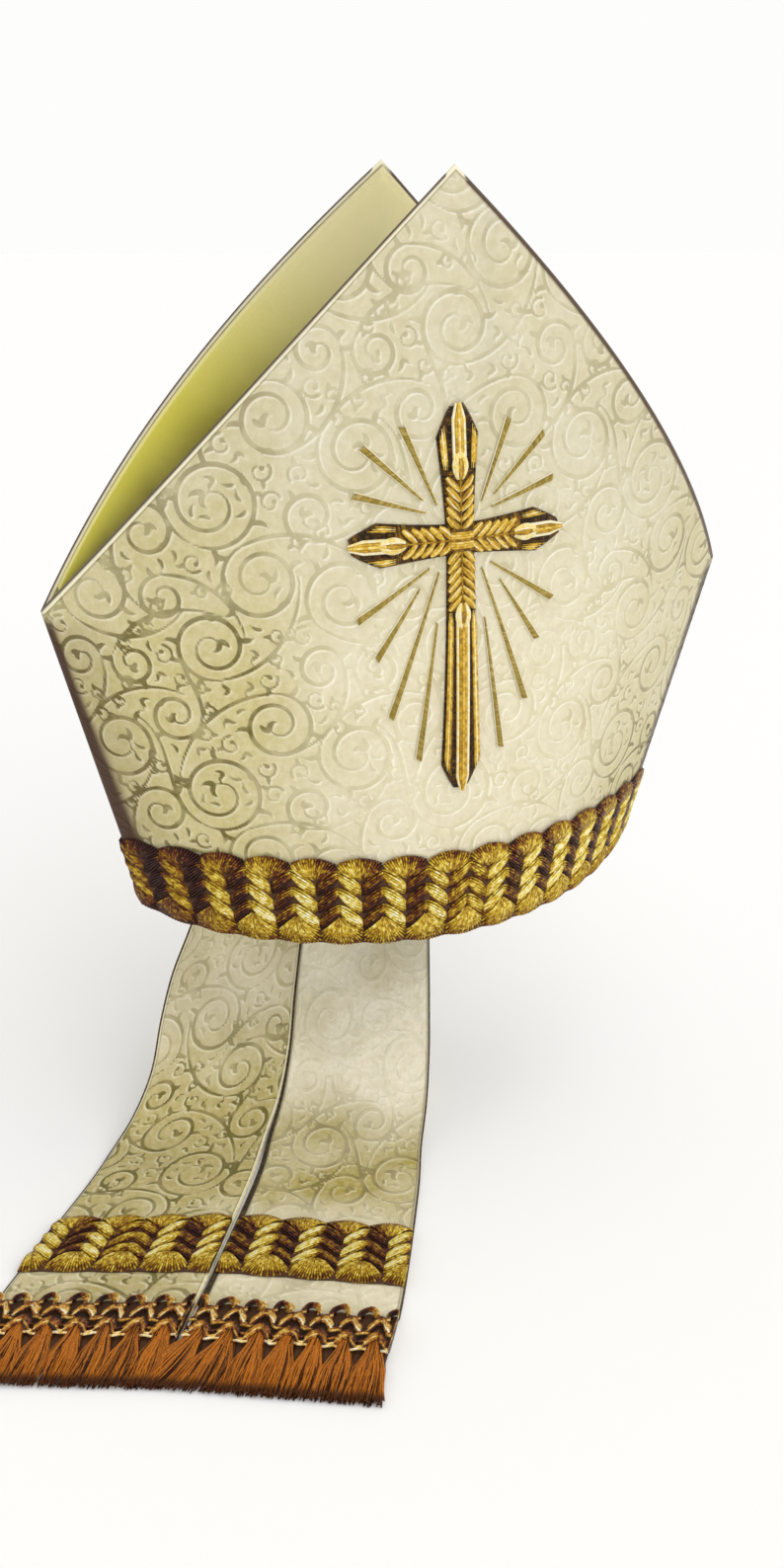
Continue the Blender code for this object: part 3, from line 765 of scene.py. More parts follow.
def edge_line(shell, side, angle):
    """A line round the horn's edge, this far round the curve from the outer face to the inner one."""
    inset = EDGE_ROUND * (1 - math.sin(angle))
    offset = -PANEL_WALL / 2 * (1 - math.cos(angle))
    share = np.linspace(-1.0, 1.0, ACROSS_STEPS + 1)
    foot_z = lower_height(share, 0.0, inset)
    foot_x = share * lower_width(foot_z, offset, inset)
    foot = shell.line(skin(side, foot_x, foot_z, offset), edge=9.0, shade=0.0, **NO_FIGURE)
    side_z = lower_height(1.0, np.linspace(0.0, 1.0, LOWER_STEPS + 1), inset)
    high_z, high_x = gable_edge(np.linspace(0, 1, UPPER_STEPS + 1)[1:], offset, inset)
    x = np.concatenate([lower_width(side_z, offset, inset), high_x])
    z = np.concatenate([side_z, high_z])
    runs = []
    for hand, last in ((1, None), (-1, -1)):
        marks = {"edge": gable_distance(x, z)[1:last], "shade": seam_shade(hand, x, z)[1:last], **NO_FIGURE}
        runs.append(shell.line(skin(side, hand * x, z, offset)[1:last], **marks))
    right, left = runs
    return foot, [foot[-1]] + right, [foot[0]] + left + right[-1:]


def bridge(shell, first, last, flip):
    """Closes the edge between two outlines."""
    shell.zip(last[0], first[0], flip)
    shell.zip(first[1], last[1], not flip)
    shell.zip(last[2], first[2], not flip)


def build_horn(name, node, side, material):
    shell = Shell(("figure", "lit", "edge", "shade"))
    flip = side > 0
    outer = horn_face(shell, side, 1, 0.0, True)
    inner = horn_face(shell, side, BACKING_COARSER, -PANEL_WALL, False)
    shell.cover(outer, flip)
    shell.cover(inner, not flip)
    previous = outline(outer)
    for angle in (math.pi / 4, math.pi / 2, 3 * math.pi / 4):
        line = edge_line(shell, side, angle)
        bridge(shell, previous, line, flip)
        previous = line
    bridge(shell, previous, outline(inner), flip)
    return dressed(shell.make(name, material), "ivory_brocade", node)


HORN_BROCADE = brocade_material(
    "horn brocade", horn_painted_shading,
    lit_ground="DED6BA", painted_light="C6B97A", scroll_in_shade="6A5E22", scroll_in_light="D0C79F",
)
front_brocade = build_horn("front_brocade", "front_panel", -1, HORN_BROCADE)
back_brocade = build_horn("back_brocade", "back_panel", 1, HORN_BROCADE)


# Threads: lines of points with a girth and marks at each, swept round by Geometry Nodes.
class Threads:
    def __init__(self, *marks):
        self.points = []
        self.edges = []
        self.count = 0
        self.marks = {mark: [] for mark in ("girth", "along") + marks}

    def line(self, points, girth, **marks):
        points = np.asarray(points, float)
        number = len(points)
        run = np.linalg.norm(np.diff(points, axis=0), axis=1)
        marks["along"] = np.concatenate([[0.0], np.cumsum(run)]) * 1000
        marks["girth"] = girth
        self.points.append(points)
        self.edges += [(self.count + i, self.count + i + 1) for i in range(number - 1)]
        self.count += number
        for mark, runs in self.marks.items():
            runs.append(np.broadcast_to(np.asarray(marks.get(mark, 0.0), float), number))

    def swept(self, name, sides, seed, material):
        mesh = bpy.data.meshes.new(name)
        mesh.from_pydata(np.concatenate(self.points).tolist(), self.edges, [])
        for mark, runs in self.marks.items():
            store_mark(mesh, mark, np.concatenate(runs))
        return grown(name, mesh, SWEEP, Sides=sides, Seed=seed, Material=material)


def new_tree(name, **inputs):
    """An empty geometry tree with a geometry in and out and these further inputs."""
    ends = {"Geometry": "geometry"}
    return new_group(name, "GeometryNodeTree", {**ends, **inputs}, ends)


def end_tree(r, start, end, geometry):
    """The end of a geometry tree: instances made real, and the material set."""
    whole = r.node("GeometryNodeRealizeInstances")
    dyed = r.node("GeometryNodeSetMaterial")
    r.wire(geometry, whole.inputs["Geometry"])
    r.wire(whole.outputs["Geometry"], dyed.inputs["Geometry"])
    r.wire(start.outputs["Material"], dyed.inputs["Material"])
    r.wire(dyed.outputs["Geometry"], end.inputs["Geometry"])


def sweep_tree():
    """Lines to threads, each with its own number from 0 to 1 in the mark strand."""
    tree, r, start, end = new_tree("threads from lines", Sides="count", Seed="count", Material="material")
    curve = r.node("GeometryNodeMeshToCurve")
    girth = r.node("GeometryNodeInputNamedAttribute", data_type="FLOAT", in_Name="girth")
    radius = r.node("GeometryNodeSetCurveRadius")
    chance = r.node("FunctionNodeRandomValue", data_type="FLOAT")
    order = r.node("GeometryNodeInputIndex")
    strand = r.node("GeometryNodeStoreNamedAttribute", data_type="FLOAT", domain="CURVE", in_Name="strand")
    ring = r.node("GeometryNodeCurvePrimitiveCircle", in_Radius=1.0)
    body = r.node("GeometryNodeCurveToMesh")
    smooth = r.node("GeometryNodeSetShadeSmooth")
    set_plain(body, Fill_Caps=True)
    r.wire(start.outputs["Geometry"], curve.inputs["Mesh"])
    r.wire(curve.outputs["Curve"], radius.inputs["Curve"])
    r.wire(girth.outputs["Attribute"], radius.inputs["Radius"])
    r.wire(start.outputs["Seed"], chance.inputs["Seed"])
    r.wire(order.outputs["Index"], chance.inputs["ID"])
    r.wire(radius.outputs["Curve"], strand.inputs["Geometry"])
    r.wire(next(o for o in chance.outputs if o.type == "VALUE" and o.enabled), strand.inputs["Value"])
    r.wire(start.outputs["Sides"], ring.inputs["Resolution"])
    r.wire(strand.outputs["Geometry"], body.inputs["Curve"])
    r.wire(ring.outputs["Curve"], body.inputs["Profile Curve"])
    if "Scale" in body.inputs:
        r.wire(girth.outputs["Attribute"], body.inputs["Scale"])
    r.wire(body.outputs["Mesh"], smooth.inputs["Geometry"])
    end_tree(r, start, end, smooth.outputs["Geometry"])
    return tree


def repeat_tree():
    """A motif set down again and again along X."""
    tree, r, start, end = new_tree("motifs in a row", Count="count", Step="value", Material="material")
    row = r.node("GeometryNodeMeshLine", mode="OFFSET")
    step = r.node("ShaderNodeCombineXYZ")
    copies = r.node("GeometryNodeInstanceOnPoints")
    r.wire(start.outputs["Count"], row.inputs["Count"])
    r.wire(start.outputs["Step"], step.inputs["X"])
    r.wire(step.outputs["Vector"], row.inputs["Offset"])
    r.wire(row.outputs["Mesh"], copies.inputs["Points"])
    r.wire(start.outputs["Geometry"], copies.inputs["Instance"])
    end_tree(r, start, end, copies.outputs["Instances"])
    return tree


def grown(name, mesh, tree, **inputs):
    """The mesh that a geometry tree makes of this one."""
    carrier = bpy.data.objects.new(name, mesh)
    modifier = carrier.modifiers.new("grow", "NODES")
    modifier.node_group = tree
    for item in tree.interface.items_tree:
        if item.in_out == "INPUT" and item.name in inputs:
            modifier[item.identifier] = inputs[item.name]
    scene.collection.objects.link(carrier)
    depsgraph = bpy.context.evaluated_depsgraph_get()
    made = bpy.data.meshes.new_from_object(
        carrier.evaluated_get(depsgraph), preserve_all_data_layers=True, depsgraph=depsgraph
    )
    made.name = name
    carrier.modifiers.remove(modifier)
    bpy.data.objects.remove(carrier)
    return made


SWEEP = sweep_tree()
REPEAT = repeat_tree()


def mark_of(mesh, name):
    values = np.zeros(len(mesh.vertices), np.float32)
    mesh.attributes[name].data.foreach_get("value", values)
    return values


def points_of(mesh):
    flat = np.zeros(len(mesh.vertices) * 3, np.float32)
    mesh.vertices.foreach_get("co", flat)
    return flat.reshape(-1, 3).astype(float)


def bend(mesh, place):
    """Lays a flat mesh on the model: X along the cloth, Y up it and Z out of it."""
    laid = place(*points_of(mesh).T)
    mesh.vertices.foreach_set("co", laid.astype(np.float32).ravel())
    mesh.update()
    return laid


def piece(name, mesh, slot_name, *nodes):
    """A mesh as a finished piece."""
    made = bpy.data.objects.new(name, mesh)
    scene.collection.objects.link(made)
    return dressed(made, slot_name, *nodes)


def slab(name, place, x, y, top, bottom, material, ring=False, **marks):
    """A closed layer over a flat grid, laid on the model."""
    shell = Shell(tuple(marks))
    faces = []
    for out in (top, bottom):
        lines = []
        for i in range(len(x)):
            here = {mark: values[i] for mark, values in marks.items()}
            line = shell.line(place(x[i], y[i], out[i]), **here)
            lines.append(line + line[:1] if ring else line)
        faces.append(lines)
    upper, lower = faces
    shell.cover(upper)
    shell.cover(lower, True)
    shell.zip(lower[0], upper[0])
    shell.zip(lower[-1], upper[-1], True)
    if not ring:
        shell.zip([line[0] for line in lower], [line[0] for line in upper], True)
        shell.zip([line[-1] for line in lower], [line[-1] for line in upper])
    return shell.make(name, material)


# Threads' colours. The tone runs from dark brown through orange and gold to cream.
WINDING = 0.55
TONE_PLACES = (0.0, 0.22, 0.42, 0.62, 0.80, 1.0)
BRAID_TONES = "2E0A02 70340E A07A12 D4B22E F4E274 FDF7CE"
HEADING_TONES = "2A0A02 743410 B0741A D4A43E F0D488 FAF0CC"
STITCH_TONES = "241404 60400C AC8018 DDB436 F6DE80 F8F0CF"
OLIVE_TONE_PLACES = (0.0, 0.25, 0.50, 0.70, 0.85, 1.0)
OLIVE_TONES = "2A1A08 6B5420 A28A2E C4AE66 E6DAA8 F6EFD2"


def thread_material(name, tones, metallic, roughness, painted_glint, places=TONE_PLACES):
    """Metal or silk thread: its colour from the marks tone and strand, with painted glints streaked along
    it, and its winding from along.
    """
    material, r, shader = new_material(name)
    place = r.place()
    mottle = r.group(MOTTLE, Place=place, Size=0.009)
    strand = r.times(r.minus(r.mark("strand"), 0.5), 0.20)
    # Painted glints: lighter and darker streaks along each thread, as strong as the fifth argument says.
    run = r.node("ShaderNodeCombineXYZ")
    r.wire(r.times(r.mark("strand"), 61.0), run.inputs["X"])
    r.wire(r.times(r.mark("along"), 0.40), run.inputs["Y"])
    r.wire(r.times(mottle.outputs["Soft"], 2.5), run.inputs["Z"])
    streak = r.ramp(r.noise(run.outputs["Vector"], 1.0, 2.0, 0.6), 0.30, 0.70)
    painted_light = r.times(r.minus(streak, 0.5), painted_glint)
    tone = r.plus(r.mark("tone"), r.plus(strand, painted_light), clamp=True)
    ramp = r.node("ShaderNodeValToRGB")
    stops = ramp.color_ramp.elements
    while len(stops) < len(places):
        stops.new(0.5)
    for stop, where, code in zip(stops, places, tones.split()):
        stop.position = where
        stop.color = colour(code)
    r.wire(tone, ramp.inputs["Fac"])
    r.wire(ramp.outputs["Color"], shader.inputs["Base Color"])
    set_plain(shader, Metallic=metallic)
    uneven = r.times(mottle.outputs["Fine"], 0.14)
    r.wire(r.plus(roughness, uneven), shader.inputs["Roughness"])
    turns = r.math("SINE", r.times(r.mark("along"), 2 * math.pi / WINDING))
    r.wire(r.bump(turns, 0.00012, 0.6), shader.inputs["Normal"])
    return material


GOLD_BRAID = thread_material("gold braid", BRAID_TONES, metallic=0.45, roughness=0.26, painted_glint=0.46)
GOLD_THREAD = thread_material("gold thread", STITCH_TONES, metallic=0.25, roughness=0.34, painted_glint=0.26)
HEADING_GOLD = thread_material("heading gold", HEADING_TONES, metallic=0.30, roughness=0.32, painted_glint=0.50)
OLIVE_THREAD = thread_material(
    "olive gold thread", OLIVE_TONES, metallic=0.15, roughness=0.46, painted_glint=0.20, places=OLIVE_TONE_PLACES,
)


# Plaited galloon: its rows of arms, and the fans that fill it above and below.
GALLOON_HIGH = 0.0427
GALLOON_PITCH = 0.0194
GALLOON_FLAT_AT_SEAM = 0.70
GALLOON_SCALLOP = 0.0023
GALLOON_ROWS = 3
GALLOON_ROW_HIGH = 0.0091
GALLOON_FIRST = 0.0048
GALLOON_RISE = 0.0092
GALLOON_STRANDS = 6
GALLOON_WEB = 0.0011
ARM_PLUMP = 0.0029
ARM_GIRTH = 0.00060
ARM_TWIST = 0.0016
ARM_END = 0.34
UPPER_FAN_ROOT = 0.0318
UPPER_FAN_ROUND = 0.0062
UPPER_FAN_ANGLES = np.radians(np.linspace(-46.0, 46.0, 17))
LOWER_FAN_ROOT = GALLOON_FIRST + 0.0098
LOWER_FAN_ROUND = 0.0050
LOWER_FAN_ANGLES = np.radians(np.linspace(-45.0, 45.0, 18))
FAN_GIRTH = 0.00058
RIM_SAMPLES = 801


def galloon_arm(threads, half, row, hand, share):
    """One thread of an arm, from the motif's side down to the groove at its middle."""
    part = np.linspace(0.0, 1.0, 9)
    bulge = np.sin(math.pi * (0.14 + 0.76 * (1 - part))) ** 0.55
    crown = math.sqrt(1 - 0.93 * (2 * share - 1) ** 2)
    x = half + hand * half * (1 - part) * 0.99
    off = (share - 0.5) * GALLOON_ROW_HIGH * 0.98 * bulge
    twist = ARM_TWIST * (part - 0.5) * (1 - abs(2 * share - 1))
    low = GALLOON_FIRST + GALLOON_ROW_HIGH * (row + 0.5)
    y = low + off + twist + GALLOON_RISE * (1 - part)
    out = 0.0003 + ARM_PLUMP * crown * bulge * (0.55 + 0.45 * (1 - part))
    threads.line(
        np.stack([x, y, out], axis=1), ARM_GIRTH * (0.75 + 0.25 * bulge),
        hand=hand, depth=crown * bulge, tone=share, end=np.clip(1 - part / ARM_END, 0.0, 1.0),
    )


def galloon_fan(threads, half, centre, way, theta):
    """One thread of a fan that opens upwards (way 1) or downwards (way -1), turned by theta."""
    lean = abs(math.sin(theta))
    if way > 0:
        root = UPPER_FAN_ROOT
        first = 0.0014 + 0.0006 / max(math.cos(theta) - GALLOON_RISE / half * lean, 0.2)
        edge = GALLOON_HIGH + GALLOON_SCALLOP - UPPER_FAN_ROUND * lean**2 - root
    else:
        root, first = LOWER_FAN_ROOT, 0.0010
        edge = root + 0.5 * GALLOON_SCALLOP - LOWER_FAN_ROUND * lean**2
    last = min(edge / math.cos(theta), 0.96 * half / max(lean, 0.01))
    reach = np.linspace(first, last, 6)
    x = centre + reach * math.sin(theta)
    y = root + way * reach * math.cos(theta)
    swell = np.sin(math.pi * np.clip((reach - first) / (last - first), 0.0, 1.0) * 0.86 + 0.35)
    out = 0.0006 + 0.0022 * np.maximum(swell, 0.0)
    threads.line(
        np.stack([x, y, out], axis=1), np.minimum(FAN_GIRTH, 0.00018 + reach * 0.065),
        hand=0.0, depth=0.4 + 0.6 * swell, tone=0.5, lean=math.sin(theta) if way > 0 else 0.0,
    )


def galloon_motif(name, pitch, material):
    """One flat motif: rows of plump arms that meet in a groove, with a fan above and below."""
    threads = Threads("hand", "depth", "tone", "lean", "end")
    half = pitch / 2
    for row in range(GALLOON_ROWS):
        for hand in (-1, 1):
            for k in range(GALLOON_STRANDS):
                galloon_arm(threads, half, row, hand, (k + 0.5) / GALLOON_STRANDS)
    for theta in UPPER_FAN_ANGLES:
        galloon_fan(threads, half, half, 1, theta)
    for theta in LOWER_FAN_ANGLES:
        galloon_fan(threads, half, 0.0 if theta > 0 else pitch, -1, theta)
    return threads.swept(name, 5, SEED, material)


def galloon_tones(mesh, sunny, dim=0.0):
    """Painted light on a galloon: painted highlights on the arms of one hand and painted shade on the
    other's, by how sunny it is.
    """
    marks = ("hand", "depth", "tone", "lean", "end")
    hand, depth, across, lean, end = (mark_of(mesh, mark) for mark in marks)
    shaded, lit = np.clip(hand * sunny, 0, 1), np.clip(-hand * sunny, 0, 1)
    # Painted highlight and shade by hand, and each arm painted lighter towards its upper threads.
    arms = 0.53 - 0.50 * shaded + 0.14 * lit + (0.22 + 0.26 * shaded) * (across - 0.45)
    # Painted shade where the threads sit low in the grooves.
    arms = arms + 0.62 * (depth - 0.74)
    # A painted highlight at the outer ends of shaded arms.
    arms = arms + 0.64 * shaded * smooth_step(0.45, 0.95, end) - 0.12 * lit * smooth_step(0.5, 1.0, end)
    # Fans get painted shade low down and on the side that turns from the light; the last argument takes
    # painted shade off all.
    fans = 0.10 + 0.50 * depth - 0.46 * np.clip(lean * sunny, 0, 1)
    store_mark(mesh, "tone", np.where(hand == 0, fans, arms) - dim)


def rim_place():
    """What lays a flat ring on the horns, from the left corner round the front, and one horn's run."""
    shares = np.linspace(-1.0, 1.0, RIM_SAMPLES)
    points = skin(-1, shares * RIM_HALF_WIDTH, 0.0 * shares, 0.0)
    run = np.concatenate([[0.0], np.cumsum(np.linalg.norm(np.diff(points, axis=0), axis=1))])
    around_front = run[-1]

    def place(x, y, out):
        x = np.mod(x, 2 * around_front)
        front = x <= around_front
        share = np.interp(np.where(front, x, 2 * around_front - x), run, shares)
        foot = RIM_SIDE_RISE * np.abs(share) ** RIM_RISE_POWER
        z = foot + y * (1 - foot / GALLOON_HIGH)
        offset = SEAM_GAP / 2 + SEWN_GAP + out * (1 - GALLOON_FLAT_AT_SEAM * np.abs(share) ** 12)
        return skin(np.where(front, -1, 1), share * offset_section(z, offset)[0], z, offset)

    return place, around_front


RIM_PLACE, RIM_RUN = rim_place()
RIM_MOTIFS = round(RIM_RUN / GALLOON_PITCH)
# Where the braid's painted light swaps hands, and where painted shade dims it towards the left and right
# seams.
RIM_MIRROR = 0.013
RIM_MIRROR_SOFT = 0.020
RIM_DIM_LEFT = (-0.080, -0.128)
RIM_DIM_RIGHT = (0.06, 0.11)


def web_grid(start, end, motifs, steps=8, rows=6):
    """A flat grid with scalloped long edges."""
    number = motifs * steps
    share = np.linspace(0.0, 1.0, number + 1)
    above = GALLOON_SCALLOP * (1.6 * np.abs(np.sin(math.pi * share * motifs)) - 1.0)
    below = 0.3 * GALLOON_SCALLOP * np.abs(np.cos(math.pi * share * motifs))
    x = np.tile(start + (end - start) * share, (rows + 1, 1))
    part = np.linspace(0.0, 1.0, rows + 1)[:, None]
    y = -below + (GALLOON_HIGH + above + below) * part
    return x, y


def build_rim():
    """Painted light on the braid: which hand of arms gets painted highlights and which painted shade swaps
    at the mirror line at the front, and painted shade dims it at both seams.
    """
    count, step = 2 * RIM_MOTIFS, RIM_RUN / RIM_MOTIFS
    motif = galloon_motif("rim motif", step, GOLD_BRAID)
    mesh = grown("rim_galloon", motif, REPEAT, Count=count, Step=step, Material=GOLD_BRAID)
    x, y = bend(mesh, RIM_PLACE)[:, :2].T
    sunny = np.clip((RIM_MIRROR - x) / RIM_MIRROR_SOFT, -1.0, 1.0) * np.where(y > 0, -1.0, 1.0)
    galloon_tones(mesh, sunny, 0.36 * smooth_step(*RIM_DIM_LEFT, x) + 0.08 * smooth_step(*RIM_DIM_RIGHT, x))
    piece("rim_galloon", mesh, "gold_braid", "rim_braid")
    x, y = (grid[:, :-1] for grid in web_grid(0.0, 2 * RIM_RUN, count))
    web = slab("rim_web", RIM_PLACE, x, y, GALLOON_WEB + 0 * x, 0 * x, WEB_CLOTH, ring=True)
    dressed(web, "gold_braid", "rim_braid")


def web_material():
    """Dark woven ground that shows between the gold threads."""
    material, r, shader = new_material("braid ground")
    place = r.place()
    mottle = r.group(MOTTLE, Place=place, Size=0.004)
    weave = r.group(WEAVE, Place=place, Thread=0.0010)
    body = r.mix(mottle.outputs["Fine"], colour("220A02"), colour("50260A"))
    body = r.mix(r.times(weave.outputs["Tone"], 0.3), body, colour("74501A"))
    r.wire(body, shader.inputs["Base Color"])
    set_plain(shader, Roughness=0.6)
    r.wire(r.bump(weave.outputs["Height"], 0.0004, 0.8), shader.inputs["Normal"])
    return material


WEB_CLOTH = web_material()
build_rim()


# Cross and rays, laid on the front from the centre of the cross. Each arm is satin stitch over
# padding, with cords beside its edges and down its middle, and an ear of wheat at its root. A row of
# EDGE_CORDS is a cord's distance from the middle, its height and its tone, and a row of CORE_CORDS
# its distance, girth, height and tone.
CROSS_HEIGHT = 0.1905
CROSS_TILT = math.radians(2.0)
UPPER_ARM = 0.056
SIDE_ARM = 0.0495
LOWER_ARM = 0.1145
EAR_LONG = 0.029
LOWER_EAR_LONG = 0.031
CORE_HALF = 0.0063
ARM_FLARE = 0.0032
ARM_POINT = 0.0130
POINT_HALF = 0.0022
PAD_HALF = 0.0075
SATIN_STEP = 0.00085
SATIN_GIRTH = 0.00048
EDGE_CORD_GIRTH = 0.00060
EDGE_CORDS = (
    (0.0049, 0.0019, 0.80),
    (0.0043, 0.0019, 0.58),
    (0.0055, 0.0019, 0.58),
    (0.0036, 0.0013, 0.08),
)
CORE_CORDS = (
    (0.0, 0.00080, 0.0027, 0.66),
    (-0.0012, 0.00066, 0.0025, 0.52),
    (0.0012, 0.00066, 0.0025, 0.54),
    (-0.0025, 0.00078, 0.0022, 0.98),
    (0.0025, 0.00078, 0.0022, 0.93),
)
GRAIN_STEP = 0.0041
GRAIN_LONG = 0.0060
GRAIN_TONES = (0.12, 0.46, 0.60, 0.78, 0.50)
HUSK_GIRTH = 0.00058
KNOT_HALF = 0.0050
KNOT_STEP = 0.00105


def on_front(x, y, out):
    across = x * math.cos(CROSS_TILT) - y * math.sin(CROSS_TILT)
    up = CROSS_HEIGHT + x * math.sin(CROSS_TILT) + y * math.cos(CROSS_TILT)
    return skin(-1, across, up, SEWN_GAP + out)


def padding(across):
    """Height of the padded ground at this distance from an arm's middle."""
    return 0.0007 + 0.0011 * np.clip(1 - np.abs(across) / PAD_HALF, 0.0, 1.0)


class Arm:
    """One arm of the cross, which adds its threads to the cross's."""

    def __init__(self, threads, length, degrees, ears):
        turn = math.radians(degrees)
        self.threads, self.length, self.ears = threads, length, ears
        self.ahead, self.beside = around(turn), around(turn - math.pi / 2)

    def line(self, along, across, out, girth, tone):
        flat = np.outer(along, self.ahead) + np.outer(across, self.beside)
        points = np.column_stack([flat, np.broadcast_to(out, len(flat))])
        self.threads.line(points, girth, tone=tone)

    def half(self, along):
        """Half width of the arm: it flares, then draws in to its point."""
        flare = CORE_HALF + ARM_FLARE * np.clip(along / (self.length - ARM_POINT), 0.0, 1.0) ** 1.5
        tip = np.clip((self.length - along) / ARM_POINT, 0.0, 1.0)
        return np.where(tip < 1.0, POINT_HALF + (flare - POINT_HALF) * tip**0.8, flare)

    def satin(self):
        """Dark stitches from edge to edge, browner gold under the ears."""
        for along in np.arange(0.004, self.length - 0.001, SATIN_STEP):
            reach = float(self.half(along))
            across = np.linspace(-reach, reach, 9)
            out = padding(across) * np.sqrt(np.clip(1.02 - (across / reach) ** 4, 0.0, 1.0))
            tone = 0.10 + 0.28 * (1 - (across / reach) ** 2) * (along < self.ears)
            self.line(along + 0.0006 * (across / reach), across, out, SATIN_GIRTH, tone)

    def edge_cords(self):
        """Cords that keep beside both edges past the ears and stop where the point draws in."""
        for away, out, tone in EDGE_CORDS:
            for side in (-1, 1):
                run = np.arange(self.ears + 0.0005, self.length, 0.0012)
                wide = away * self.half(run) / CORE_HALF
                widest = away * (CORE_HALF + ARM_FLARE) / CORE_HALF
                wide = np.where(run > self.length - ARM_POINT, widest, wide)
                run = run[wide < self.half(run) - 0.0004]
                if len(run) < 3:
                    continue
                swell = np.clip(np.minimum(run - run[0], run[-1] - run) / 0.004, 0.3, 1.0)
                self.line(run, side * wide[:len(run)], out, EDGE_CORD_GIRTH * swell, tone)

    def core_cords(self):
        """Thick cords down the middle that draw together at the point."""
        run = np.linspace(self.ears + 0.0050, self.length + 0.0004, 24)
        taper = np.clip((self.length + 0.004 - run) / 0.010, 0.35, 1.0)
        for across, girth, out, tone in CORE_CORDS:
            self.line(run, across * taper, out, girth * taper**0.5, tone)

    def grain(self, base, side):
        """One grain of the ear: plump threads that lean out and up from its stalk."""
        part = np.linspace(0.0, 1.0, 8)
        for k, tone in enumerate(GRAIN_TONES):
            off = (k - 2) * 0.00078 * np.sin(math.pi * (0.08 + 0.86 * part)) ** 0.7
            along = base + GRAIN_LONG * part - off * 0.57
            across = side * (0.0004 + 0.0054 * part + off * 0.82)
            high = math.sqrt(1 - 0.2 * (k - 2) ** 2)
            out = 0.0013 + 0.0016 * high * np.sin(math.pi * (0.12 + 0.76 * part))
            self.line(along, across, out, SATIN_GIRTH, tone)

    def ear(self):
        """Grains at both sides of a stalk, and the husk that closes them."""
        for base in np.arange(0.0040, self.ears - 0.0045, GRAIN_STEP):
            self.grain(base, -1)
            self.grain(base, 1)
        self.line(np.linspace(0.004, self.ears, 20), np.zeros(20), 0.0022, 0.00042, 0.34)
        husk = np.linspace(0.0, 1.0, 8)
        for k in range(9):
            off = (k - 4) / 4
            reach, tone = (0.0085, 0.50) if abs(off) < 0.4 else (0.0115, 0.86)
            across = off * 0.0032 * np.sin(math.pi * (0.12 + 0.80 * husk))
            out = 0.0020 + 0.0015 * math.sqrt(1 - 0.8 * off**2) * np.sin(math.pi * (0.1 + 0.8 * husk))
            self.line(self.ears - 0.0035 + reach * husk, across, out, HUSK_GIRTH, tone)


def cross_knot(threads):
    """Stitches across the middle of the cross, where the four ears meet."""
    part = np.linspace(-1.0, 1.0, 7)
    out = 0.0024 + 0.0012 * np.cos(part * 1.2)
    for k in range(9):
        points = np.column_stack([part * KNOT_HALF, (k - 4) * KNOT_STEP + 0 * part, out])
        threads.line(points, EDGE_CORD_GIRTH, tone=0.66 if k % 4 else 0.30)


def build_cross():
    threads = Threads("tone")
    for length, degrees, ears in (
        (UPPER_ARM, 90, EAR_LONG), (SIDE_ARM, 0, EAR_LONG), (SIDE_ARM, 180, EAR_LONG),
        (LOWER_ARM, 270, LOWER_EAR_LONG),
    ):
        arm = Arm(threads, length, degrees, ears)
        arm.satin()
        arm.edge_cords()
        arm.core_cords()
        arm.ear()
    cross_knot(threads)
    mesh = threads.swept("cross_embroidery", 6, SEED, GOLD_THREAD)
    bend(mesh, on_front)
    piece("cross_embroidery", mesh, "gold_thread", "cross")


# The rays of one side. A row is the angle from upright and the share of the reach of a ray's inner
# end, and the same of its outer end.
RAY_REACH = 0.1002
RAYS = (
    (34.4, 0.186, 27.0, 0.541),
    (43.4, 0.242, 45.7, 0.581),
    (51.9, 0.198, 65.2, 0.508),
    (128.5, 0.187, 124.9, 0.564),
    (136.5, 0.276, 142.3, 0.631),
    (143.7, 0.172, 157.0, 0.836),
    (162.5, 0.376, 168.3, 1.000),
)
RAY_STITCH_STEP = 0.00072
RAY_HALF = 0.00022
RAY_SPREAD = 0.00105
HALO_HALF = 0.00058


def ray_end(side, degrees, share):
    turn = math.radians(degrees)
    return RAY_REACH * share * np.array([side * math.sin(turn), math.cos(turn)])


def ray_threads(inner, outer):
    """Slanted stitches that widen outwards, between two pale threads."""
    length = np.linalg.norm(outer - inner)
    ahead = (outer - inner) / length
    beside = np.array([-ahead[1], ahead[0]])
    threads = Threads("tone")
    part = np.linspace(-1.0, 1.0, 4)
    for along in np.arange(0.0004, length - 0.0004, RAY_STITCH_STEP):
        half = RAY_HALF + RAY_SPREAD * along / length
        flat = inner + np.outer(along + 0.0007 * part, ahead) + np.outer(half * part, beside)
        threads.line(np.column_stack([flat, 0.00035 + 0.00050 * (1 - part**2)]), 0.00036, tone=0.54)
    run = np.linspace(0.0, length, 16)
    for edge in (-1, 1):
        away = edge * (HALO_HALF + RAY_SPREAD * run / length)
        flat = inner + np.outer(run, ahead) + away[:, None] * beside
        threads.line(np.column_stack([flat, np.full(len(run), 0.00022)]), 0.00030, tone=1.0)
    return threads


def build_rays():
    rows = [(side, *row) for side in (-1, 1) for row in RAYS]
    for number, (side, *ends) in enumerate(rows, 1):
        threads = ray_threads(ray_end(side, *ends[:2]), ray_end(side, *ends[2:]))
        name = f"ray_stitches_{number:02d}"
        mesh = threads.swept(name, 5, SEED + number, OLIVE_THREAD)
        bend(mesh, on_front)
        piece(name, mesh, "olive_gold_thread", f"ray_{number:02d}")


build_cross()
build_rays()


# Lining: a sheet from the front gable edge down to a valley and up to the back one. A station is a
# place along the valley, and a leg is a step up either side of it.
LINING_THICK = 0.0012
LINING_TUCK = 0.0028
LINING_DIP = 0.012
LINING_END = 0.93
LINING_STATIONS = 96
LINING_LEGS = 24


